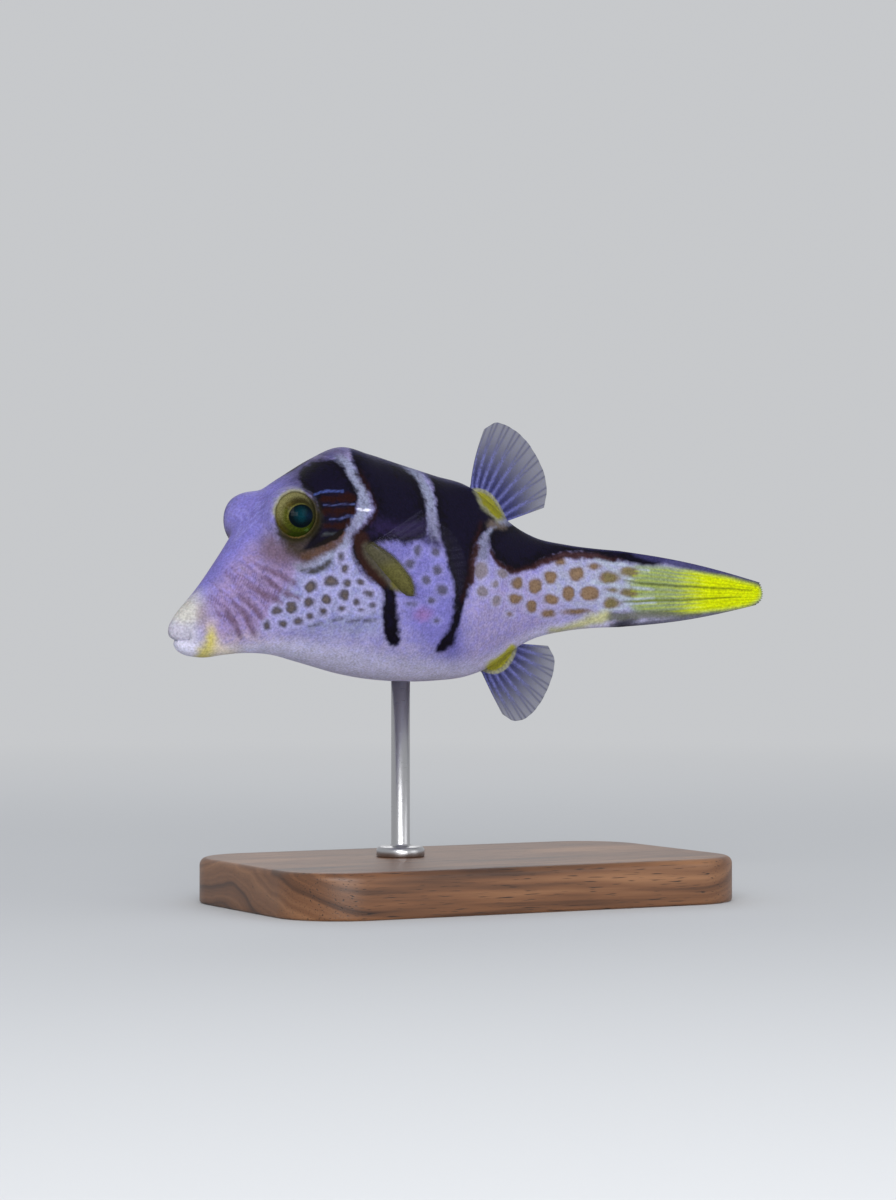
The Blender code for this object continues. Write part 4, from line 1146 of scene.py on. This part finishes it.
tilt = np.concatenate([np.linspace(0.004, 1.3, 64), np.linspace(1.34, math.pi - 0.01, 24)])[:, None]
turn = 2 * math.pi * np.arange(EYE_AROUND)[None, :] / EYE_AROUND
last_row = (len(tilt) - 1) * EYE_AROUND
for side, word in ((-1, "left"), (1, "right")):
    gaze = unit(np.array([GAZE[0], side * GAZE[1], GAZE[2]]))
    forward = unit(np.array([-1.0, 0, 0]) + gaze[0] * gaze)
    upright = np.cross(gaze, forward) * side
    off_front = np.sin(tilt) * np.cos(turn)
    off_up = np.sin(tilt) * np.sin(side * turn)
    way = np.cos(tilt)[..., None] * gaze + off_front[..., None] * forward + off_up[..., None] * upright
    radius = BALL_RADIUS + CORNEA_RISE * np.exp(-((tilt / 0.5) ** 2)) + 0 * turn
    at = eye_middle(side) + way * radius[..., None]
    ends = (range(EYE_AROUND), range(last_row + EYE_AROUND - 1, last_row - 1, -1))
    ball = sheet(f"eyeball_{word}", place(at[..., 0], at[..., 1], at[..., 2]), painted_glass, ends=ends)
    off = tilt * BALL_RADIUS + 0 * turn
    off_front = off_front * BALL_RADIUS
    off_up = off_up * BALL_RADIUS
    pupil_off = np.hypot(off_front / PUPIL_STRETCH, off_up)
    beyond = pupil_off - PUPIL_RADIUS
    # how far each point faces the light, for the painted highlight at the ball's edge
    lid_lit = (0.6 * off_front + 0.8 * off_up) / np.maximum(off, 0.1)
    give(ball, "pupil", PUPIL_RADIUS - pupil_off)
    give(ball, "pupil_heart", 0.8 - np.hypot(off_front - 0.15, off_up - 0.2))
    give(ball, "pupil_blue", 0.5 - np.hypot(off_front + 0.95, off_up - 0.1))
    give(ball, "gold_arc", np.minimum(0.06 - np.abs(beyond - 0.08), 0.3 * (off_up + 0.9 * off_front - 1.1)))
    give(ball, "eye_low", -off_up - 0.6 + 0.1 * off_front)
    give(ball, "eye_high", off_up - 1.2)
    give(ball, "eye_front", off_front - 1.3)
    give(ball, "eye_rear", -off_front - 1.7 + 0.3 * off_up)
    give(ball, "iris_lime", np.minimum(0.3 - np.abs(beyond - 0.35), 0.6 * (0.7 * off_front - off_up) - 0.2))
    give(ball, "iris_ring", 0.05 - np.abs(beyond - 0.72))
    fibres = 0.12 * np.sin(31 * turn + 4 * np.sin(3 * turn)) + 0.06 * np.sin(7 * off)
    give(ball, "iris_fibres", fibres - 0.06)
    give(ball, "iris_moss", 0.35 - np.hypot(off_front + 1.1, 1.5 * (off_up + 1.75)))
    # the lid's pale colour on the ball's edge, only on the side toward the light: partly painted highlight
    give(ball, "lid_inside_and_highlight", np.minimum(off - 2.8, 1.5 * (lid_lit - 0.45)))
    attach(ball, "root")
    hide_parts(f"eye_{word}")


# The dorsal and the anal fin: a clear violet membrane on soft rays that branch towards the edge, on a
# fleshy yellow foot. Each is one thin blade with its rays as ridges, its foot sunk in the back or the belly.
DORSAL_ROOT = (48.3, 52.8)  # from here to here along the back
ANAL_ROOT = (49.5, 54.4)
DORSAL_TIPS = (  # each ray's end: along, up
    (50.0, 23.0), (51.7, 23.9), (53.4, 23.5), (55.0, 22.6), (56.5, 21.2), (57.8, 19.3), (58.8, 17.2),
    (59.2, 14.8), (58.8, 12.5),
)
ANAL_TIPS = (
    (52.7, -15.4), (54.3, -16.3), (55.9, -16.1), (57.3, -15.1), (58.5, -13.6), (59.4, -11.9),
    (60.1, -10.0), (60.3, -8.0), (59.4, -6.2),
)
MEMBRANE_HALF = 0.08
RIDGE_HALF = 0.11
RIDGE_WIDTH = 0.17  # from a ray's middle, in mm
FOOT_HALF = 1.15
FOOT_SUNK = 0.8
FOOT_FLARE = 0.3  # how much wider the foot is where it leaves the skin
BRANCH_FROM = 0.32
BRANCH_SPREAD = 0.19
COLUMNS_PER_RAY = 16
BLADE_ROWS = 60
FIN_LAYERS = (
    ("fin_rays", "#6568a6", 0.26, 0.08, 0.75),
    ("foot_rim", "#84846c", 0.15, 0.1, 0.9),
    ("foot_flesh", "#8a8722", 0.25, 0.3, 1.0),
)
FIN_MEMBRANE = "#1f2156"


def bend(a, b, c, t):
    """A curve from a to c that leans towards b."""
    return a * (1 - t) ** 2 + b * (2 * t * (1 - t)) + c * t**2


def blade(name, start, knee, tip, foot, flare, fleshy_share, notch, finish):
    """A fan of branching rays, from its lines' starts, knees and tips in mm; also returns its measures."""
    columns = len(start)
    u = (np.arange(columns) / COLUMNS_PER_RAY)[:, None]
    v = np.linspace(0, 1, BLADE_ROWS)[None, :]
    off_ray = np.abs(u - np.round(u))
    spread = BRANCH_SPREAD * smoothstep((v - BRANCH_FROM) / (1 - BRANCH_FROM))
    out_share = v * (1 - notch * (2 * off_ray) ** 2)
    middle = bend(start[:, None], knee[:, None], tip[:, None], out_share[..., None])
    across = np.gradient(middle, axis=0)
    spacing = np.linalg.norm(across, axis=-1) * COLUMNS_PER_RAY
    off_ray = np.abs(off_ray - spread) * spacing
    out = unit(np.cross(across, np.gradient(middle, axis=1)))
    ridge = np.exp(-((off_ray / RIDGE_WIDTH) ** 2)) * (1 - 0.6 * v)
    on_foot = np.clip(1 - v / fleshy_share, 0, 1)
    flesh = (foot[:, None] - MEMBRANE_HALF) * smoothstep(1.3 * on_foot)
    above_skin = v * np.linalg.norm(tip - start, axis=-1)[:, None] - FOOT_SUNK
    flesh = flesh + flare * foot[:, None] * np.exp(-np.maximum(above_skin, -0.2) / 0.5)
    ridge = ridge * smoothstep(3 * (v / fleshy_share - 0.75))
    edge = np.sqrt(np.clip(1 - (np.clip(v - 0.97, 0, 1) / 0.031) ** 2, 0.01, 1))
    half = (MEMBRANE_HALF + RIDGE_HALF * ridge + flesh) * edge
    thick = out * half[..., None]
    loop = np.concatenate([middle + thick, (middle - thick)[:, ::-1]], axis=1)
    around = 2 * BLADE_ROWS
    last = (columns - 1) * around
    front = [(k, k + 1, around - 2 - k, around - 1 - k) for k in range(BLADE_ROWS - 1)]
    back = [[last + k for k in corners[::-1]] for corners in front]
    made = sheet(name, loop, finish, ends=front + back)
    length = np.linalg.norm(tip - start, axis=-1)[:, None]
    return made, u / (columns - 1) * COLUMNS_PER_RAY, v + 0 * u, off_ray, length


def give_both(piece, name, values):
    """A number for each point of a blade's middle, for both its faces."""
    give(piece, name, np.concatenate([values, values[:, ::-1]], axis=1))


def edge_point(along, right, top, lift):
    """A point this far over the back or under the belly."""
    step = 0.2
    here = place(along, right, edge_height(along, right, top))
    ahead = place(along + step, right, edge_height(along + step, right, top))
    beside = place(along, right + step, edge_height(along, right + step, top))
    return here + unit(np.cross(ahead - here, beside - here)) * (lift if top else -lift)


def fin_finish(name, membrane, layers, roughness):
    """Thin, wet skin: see-through where its opacity says so, with a soft sheen."""
    made = new_finish(name)
    tree = made.node_tree
    on_fin = add(tree, "ShaderNodeTexCoord").outputs["Object"]
    grains = add(tree, "ShaderNodeTexNoise", {"Vector": on_fin, "Scale": per_mm(GRAIN_SIZE), "Detail": 3.0})
    grain = grains.outputs["Fac"]
    rag = add(tree, "ShaderNodeMath", {0: grain, 1: 0.5}, operation="SUBTRACT").outputs[0]
    look = add(
        tree,
        "ShaderNodeBsdfPrincipled",
        {
            "Base Color": paint(tree, membrane, layers, grain, rag),
            "Roughness": roughness,
            "Specular IOR Level": 0.15,
            "Alpha": add(tree, "ShaderNodeAttribute", attribute_name="opacity").outputs["Fac"],
        },
    )
    add(tree, "ShaderNodeOutputMaterial", {"Surface": look.outputs[0]})
    return made


violet_membrane = fin_finish("violet fin membrane", FIN_MEMBRANE, FIN_LAYERS, 0.45)
for name, root, tips, top, lean, arch in (
    ("dorsal", DORSAL_ROOT, DORSAL_TIPS, True, 0.9, 0.085),
    ("anal", ANAL_ROOT, ANAL_TIPS, False, 0.2, 0.16),
):
    rays = len(tips)
    u = np.arange((rays - 1) * COLUMNS_PER_RAY + 1) / COLUMNS_PER_RAY
    share = u / (rays - 1)
    root_along = mix(root[0], root[1], share)
    start = np.array([edge_point(a, 0.0, top, -FOOT_SUNK) for a in root_along])
    tip_along, tip_up = smooth_rows([(k, *tip) for k, tip in enumerate(tips)], u).T
    tip = place(tip_along, 0.0, tip_up)
    forward = place(root_along - lean, 0.0, 0.0) - place(root_along, 0.0, 0.0)
    knee = (start + tip) / 2 + forward * (1 - share)[:, None]
    foot = FOOT_HALF * (0.55 + 0.45 * np.sin(math.pi * share))
    fin, share, v, off_ray, length = blade(
        f"{name}_fin_blade", start, knee, tip, foot, FOOT_FLARE, 0.2, 0.004, violet_membrane
    )
    fleshy = (0.06 + arch * np.sin(math.pi * share) - v) * length
    give_both(fin, "fin_rays", 0.22 * (1 - 0.3 * v) - off_ray - 0.4 * smoothstep((v - 0.4) / 0.7))
    give_both(fin, "foot_flesh", fleshy)
    give_both(fin, "foot_rim", 0.3 - np.abs(fleshy + 0.25))
    on_ray = np.exp(-((off_ray / 0.12) ** 2))
    opacity = mix(0.97, 0.38, smoothstep(v)) + mix(0.03, 0.2, v) * on_ray + smoothstep((fleshy + 0.6) / 0.6)
    give_both(fin, "opacity", np.clip(opacity, 0, 1))
    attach(fin, "root")
    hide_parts(f"{name}_fin")


# The pectoral fins: fans of glass-clear membrane on a fleshy olive foot, which slants down behind the gill
# slit. Each is one thin blade, with its foot sunk in the flank; only its rays catch the light.
PECTORAL_TOP = (24.8, 6.8)
PECTORAL_BOTTOM = (31.1, 1.0)
PECTORAL_RAYS = 16
PECTORAL_LENGTH = 10.5
PECTORAL_FOOT_HALF = 0.8
CLEAR_MEMBRANE = "#a9a8cc"
PECTORAL_LAYERS = (
    ("fin_rays", "#c3c1e2", 0.05, 0.02, 0.85),
    ("foot_flesh", "#56532c", 0.4, 0.2, 1.0),
    ("foot_dusky", "#474437", 0.8, 0.3, 0.8),
)


def flank_point(along, up, side, lift):
    """A point this far off the flank."""
    step = 0.2
    here = place(along, side * half_width_at(along, up), up)
    ahead = place(along + step, side * half_width_at(along + step, up), up)
    above = place(along, side * half_width_at(along, up + step), up + step)
    return here - side * unit(np.cross(ahead - here, above - here)) * lift


clear_membrane = fin_finish("clear fin membrane", CLEAR_MEMBRANE, PECTORAL_LAYERS, 0.5)
for side, word in ((-1, "left"), (1, "right")):
    share = np.linspace(0, 1, (PECTORAL_RAYS - 1) * COLUMNS_PER_RAY + 1)
    root_along = mix(PECTORAL_TOP[0], PECTORAL_BOTTOM[0], share)
    root_up = mix(PECTORAL_TOP[1], PECTORAL_BOTTOM[1], share)
    skin_at = np.array([flank_point(a, b, side, 0.0) for a, b in zip(root_along, root_up)])
    out = unit(np.array([flank_point(a, b, side, 2.0) for a, b in zip(root_along, root_up)]) - skin_at)
    back = unit(place(root_along + 1, 0.0, 0.0) - place(root_along, 0.0, 0.0))
    rise = mix(0.55, -0.35, share)[:, None] * np.array([0.0, 0.0, 1.0])
    reach = PECTORAL_LENGTH * (0.72 + 0.28 * np.sin(math.pi * np.minimum(share + 0.12, 1)))
    reach = unit(back * 0.86 + out * 0.5 + rise) * reach[:, None]
    start = skin_at - out * FOOT_SUNK
    knee = skin_at + out * 2.0 + reach * 0.15
    foot = PECTORAL_FOOT_HALF * (0.3 + 0.7 * np.sin(math.pi * np.clip(share, 0.02, 0.98)) ** 0.35)
    fin, share, v, off_ray, length = blade(
        f"pectoral_fan_{word}", start, knee, skin_at + reach, foot, 0.0, 0.5, 0.01, clear_membrane
    )
    fleshy = 0.12 + 0.15 * np.sin(math.pi * (0.06 + 0.86 * share)) ** 0.4 + 0.08 * share
    fleshy = (fleshy - 0.07 * smoothstep((share - 0.85) / 0.15) - v) * length
    give_both(fin, "fin_rays", 0.09 * (1 - 0.4 * v) - off_ray - 5 * np.clip(0.55 - v, 0, 1))
    give_both(fin, "foot_dusky", np.minimum(fleshy + 1.0, 2.5 - 7 * share))
    give_both(fin, "foot_flesh", fleshy + 1.0)
    opacity = mix(0.014, 0.003, v) + mix(0.014, 0.005, v) * np.exp(-((off_ray / 0.12) ** 2))
    opacity = opacity + smoothstep((fleshy + 0.9) / 1.2)
    give_both(fin, "opacity", np.clip(opacity, 0, 1))
    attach(fin, "root")
    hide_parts(f"pectoral_fin_{word}")


# The stand's base: a block of oiled walnut with rounded corners and softly broken edges, sawn along the
# grain. It stands flat on the table.
BASE_LENGTH = 66.0
BASE_WIDTH = 40.0
BASE_HEIGHT = 6.0
BASE_CORNER = 9.0
BASE_BEVEL = 1.0
FOOT_BEVEL = 0.4
WALNUT_DARK = "#2e1a10"
WALNUT_MID = "#6a452b"
WALNUT_LIGHT = "#8a6141"
WALNUT_PORE = "#1d110b"
PITH_AT = (7.0, -38.0)  # the tree's middle lay below the board: across and up, in mm
GRAIN_PITCH = 1.5
GRAIN_SWAY = 7.0  # how far the rings wander, in mm
SWAY_LENGTH = 14.0
PORE_WIDTH = 0.16
PORE_DEPTH = 0.05
WALNUT_ROUGHNESS = 0.42

# Oiled walnut gives the eye brown growth rings drawn out lengthways, short dark pores and a low silky sheen
walnut = new_finish("oiled walnut")
tree = walnut.node_tree
on_block = add(tree, "ShaderNodeTexCoord").outputs["Object"]
drawn_out = add(tree, "ShaderNodeMapping", {"Vector": on_block, "Scale": (0.08, 1.0, 1.0)}).outputs[0]
waver = add(tree, "ShaderNodeTexNoise", {"Vector": drawn_out, "Scale": per_mm(SWAY_LENGTH), "Detail": 2.0})
across_pith = add(
    tree,
    "ShaderNodeVectorMath",
    {0: on_block, 1: (0.0, 1.0, 1.0), 2: (0.0, -PITH_AT[0] * MM, -PITH_AT[1] * MM)},
    operation="MULTIPLY_ADD",
)
from_pith = add(tree, "ShaderNodeVectorMath", {0: across_pith.outputs[0]}, operation="LENGTH")
swayed = add(
    tree,
    "ShaderNodeMath",
    {0: waver.outputs["Fac"], 1: GRAIN_SWAY * MM, 2: from_pith.outputs["Value"]},
    operation="MULTIPLY_ADD",
)
along_block = add(tree, "ShaderNodeSeparateXYZ", {0: on_block}).outputs["X"]
slow_along = add(tree, "ShaderNodeMath", {0: along_block, 1: 0.04}, operation="MULTIPLY")
ring_at = add(tree, "ShaderNodeCombineXYZ", {"X": swayed.outputs[0], "Y": slow_along.outputs[0]})
rings = add(
    tree, "ShaderNodeTexNoise", {"Vector": ring_at.outputs[0], "Scale": per_mm(GRAIN_PITCH), "Detail": 3.0}
)
ring_tone = add(tree, "ShaderNodeValToRGB", {"Fac": rings.outputs["Fac"]})
ring_tone.color_ramp.elements[0].position = 0.3
ring_tone.color_ramp.elements[0].color = linear(WALNUT_DARK)
ring_tone.color_ramp.elements[1].position = 0.72
ring_tone.color_ramp.elements[1].color = linear(WALNUT_LIGHT)
ring_tone.color_ramp.elements.new(0.5).color = linear(WALNUT_MID)
long_thin = add(tree, "ShaderNodeMapping", {"Vector": on_block, "Scale": (0.05, 1.0, 1.0)}).outputs[0]
pores = add(tree, "ShaderNodeTexNoise", {"Vector": long_thin, "Scale": per_mm(PORE_WIDTH), "Detail": 1.0})
pore = add(tree, "ShaderNodeMapRange", {"Value": pores.outputs["Fac"], "From Min": 0.62, "From Max": 0.72})
wood_colour = add(
    tree,
    "ShaderNodeMix",
    {0: pore.outputs[0], 6: ring_tone.outputs[0], 7: linear(WALNUT_PORE)},
    data_type="RGBA",
)
wood_bump = add(
    tree,
    "ShaderNodeBump",
    {"Strength": 0.3, "Distance": PORE_DEPTH * MM, "Height": pore.outputs[0]},
    invert=True,
)
wood_look = add(
    tree,
    "ShaderNodeBsdfPrincipled",
    {"Base Color": wood_colour.outputs[2], "Roughness": WALNUT_ROUGHNESS, "Normal": wood_bump.outputs[0]},
)
add(tree, "ShaderNodeOutputMaterial", {"Surface": wood_look.outputs[0]})

CORNER_STEPS = 13
quarter = np.linspace(0, math.pi / 2, CORNER_STEPS)
turns = -np.concatenate([quarter, quarter + math.pi / 2, quarter + math.pi, quarter + 1.5 * math.pi])
corner_x = np.repeat([1, -1, -1, 1], CORNER_STEPS) * (BASE_LENGTH / 2 - BASE_CORNER)
corner_y = np.repeat([-1, -1, 1, 1], CORNER_STEPS) * (BASE_WIDTH / 2 - BASE_CORNER)


def base_ring(inset, up, share=1.0):
    """The block's outline, pulled in by this much and shrunk to this share."""
    x = corner_x + (BASE_CORNER - inset) * np.cos(turns)
    y = corner_y + (BASE_CORNER - inset) * np.sin(turns)
    return np.stack([x * share, y * share, np.full(len(turns), up)], axis=-1)


base_rings = [base_ring(FOOT_BEVEL, 0.0, share) for share in (0.02, 0.3, 0.6, 1.0)]
for a in np.linspace(0, math.pi / 2, 5):
    base_rings.append(base_ring(FOOT_BEVEL * (1 - math.sin(a)), FOOT_BEVEL * (1 - math.cos(a))))
for a in np.linspace(0, math.pi / 2, 9):
    inset = BASE_BEVEL * (1 - math.cos(a))
    base_rings.append(base_ring(inset, BASE_HEIGHT - BASE_BEVEL * (1 - math.sin(a))))
base_rings += [base_ring(BASE_BEVEL, BASE_HEIGHT, share) for share in (0.97, 0.8, 0.6, 0.3, 0.02)]
base_points = np.array(base_rings)
around = base_points.shape[1]
top_ring = (len(base_points) - 1) * around
ends = (range(around), range(top_ring + around - 1, top_ring - 1, -1))
base = sheet("walnut_base", base_points, walnut, ends=ends)
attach(base, "root")
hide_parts("stand_base")


# The stand's rod: satin stainless steel with a turned collar at its foot, which stands on the base. Its top
# is pressed a little into the belly, as the mount's pin would be.
ROD_ALONG = 37.0
ROD_RADIUS = 1.25
COLLAR_RADIUS = 3.2
COLLAR_HEIGHT = 1.4
ROD_AROUND = 64
ROD_SUNK = 0.4
TURNING_PITCH = 0.12
STEEL = "#b8b8ba"
STEEL_ROUGHNESS = (0.22, 0.4)

# Turned and satin-polished steel gives the eye a bright grey with soft streaks of light along the rod
satin_steel = new_finish("satin stainless steel")
tree = satin_steel.node_tree
on_rod = add(tree, "ShaderNodeTexCoord").outputs["Object"]
ringed = add(tree, "ShaderNodeMapping", {"Vector": on_rod, "Scale": (0.05, 0.05, 1.0)}).outputs[0]
turning_marks = add(
    tree, "ShaderNodeTexNoise", {"Vector": ringed, "Scale": per_mm(TURNING_PITCH), "Detail": 2.0}
)
steel_spread = {"To Min": STEEL_ROUGHNESS[0], "To Max": STEEL_ROUGHNESS[1]}
steel_sheen = add(tree, "ShaderNodeMapRange", {"Value": turning_marks.outputs["Fac"], **steel_spread})
steel_look = add(
    tree,
    "ShaderNodeBsdfPrincipled",
    {"Base Color": linear(STEEL), "Metallic": 1.0, "Roughness": steel_sheen.outputs[0]},
)
add(tree, "ShaderNodeOutputMaterial", {"Surface": steel_look.outputs[0]})
rod_turn = -2 * math.pi * np.arange(ROD_AROUND) / ROD_AROUND
rod_middle = place(ROD_ALONG, 0.0, 0.0)
rod_top = AXIS_HEIGHT + edge_height(ROD_ALONG, 0.0, False) + ROD_SUNK
collar_top = BASE_HEIGHT + COLLAR_HEIGHT
profile = [
    (0.1, BASE_HEIGHT),
    (COLLAR_RADIUS - 0.15, BASE_HEIGHT),
    (COLLAR_RADIUS, BASE_HEIGHT + 0.15),
    (COLLAR_RADIUS, collar_top - 0.6),
    (COLLAR_RADIUS - 0.06, collar_top - 0.35),
    (COLLAR_RADIUS - 0.25, collar_top - 0.12),
    (COLLAR_RADIUS - 0.5, collar_top),
    (ROD_RADIUS + 0.4, collar_top),
    (ROD_RADIUS + 0.12, collar_top + 0.1),
    (ROD_RADIUS, collar_top + 0.35),
    (ROD_RADIUS, rod_top),
    (0.1, rod_top),
]
rod_rings = []
for radius, up in profile:
    x = rod_middle[0] + radius * np.cos(rod_turn)
    y = rod_middle[1] + radius * np.sin(rod_turn)
    rod_rings.append(np.stack([x, y, np.full(ROD_AROUND, up)], axis=-1))
rod_points = np.array(rod_rings)
last_row = (len(profile) - 1) * ROD_AROUND
ends = (range(ROD_AROUND), range(last_row + ROD_AROUND - 1, last_row - 1, -1))
rod = sheet("steel_rod", rod_points, satin_steel, ends=ends)
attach(rod, "root")
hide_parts("stand_rod")
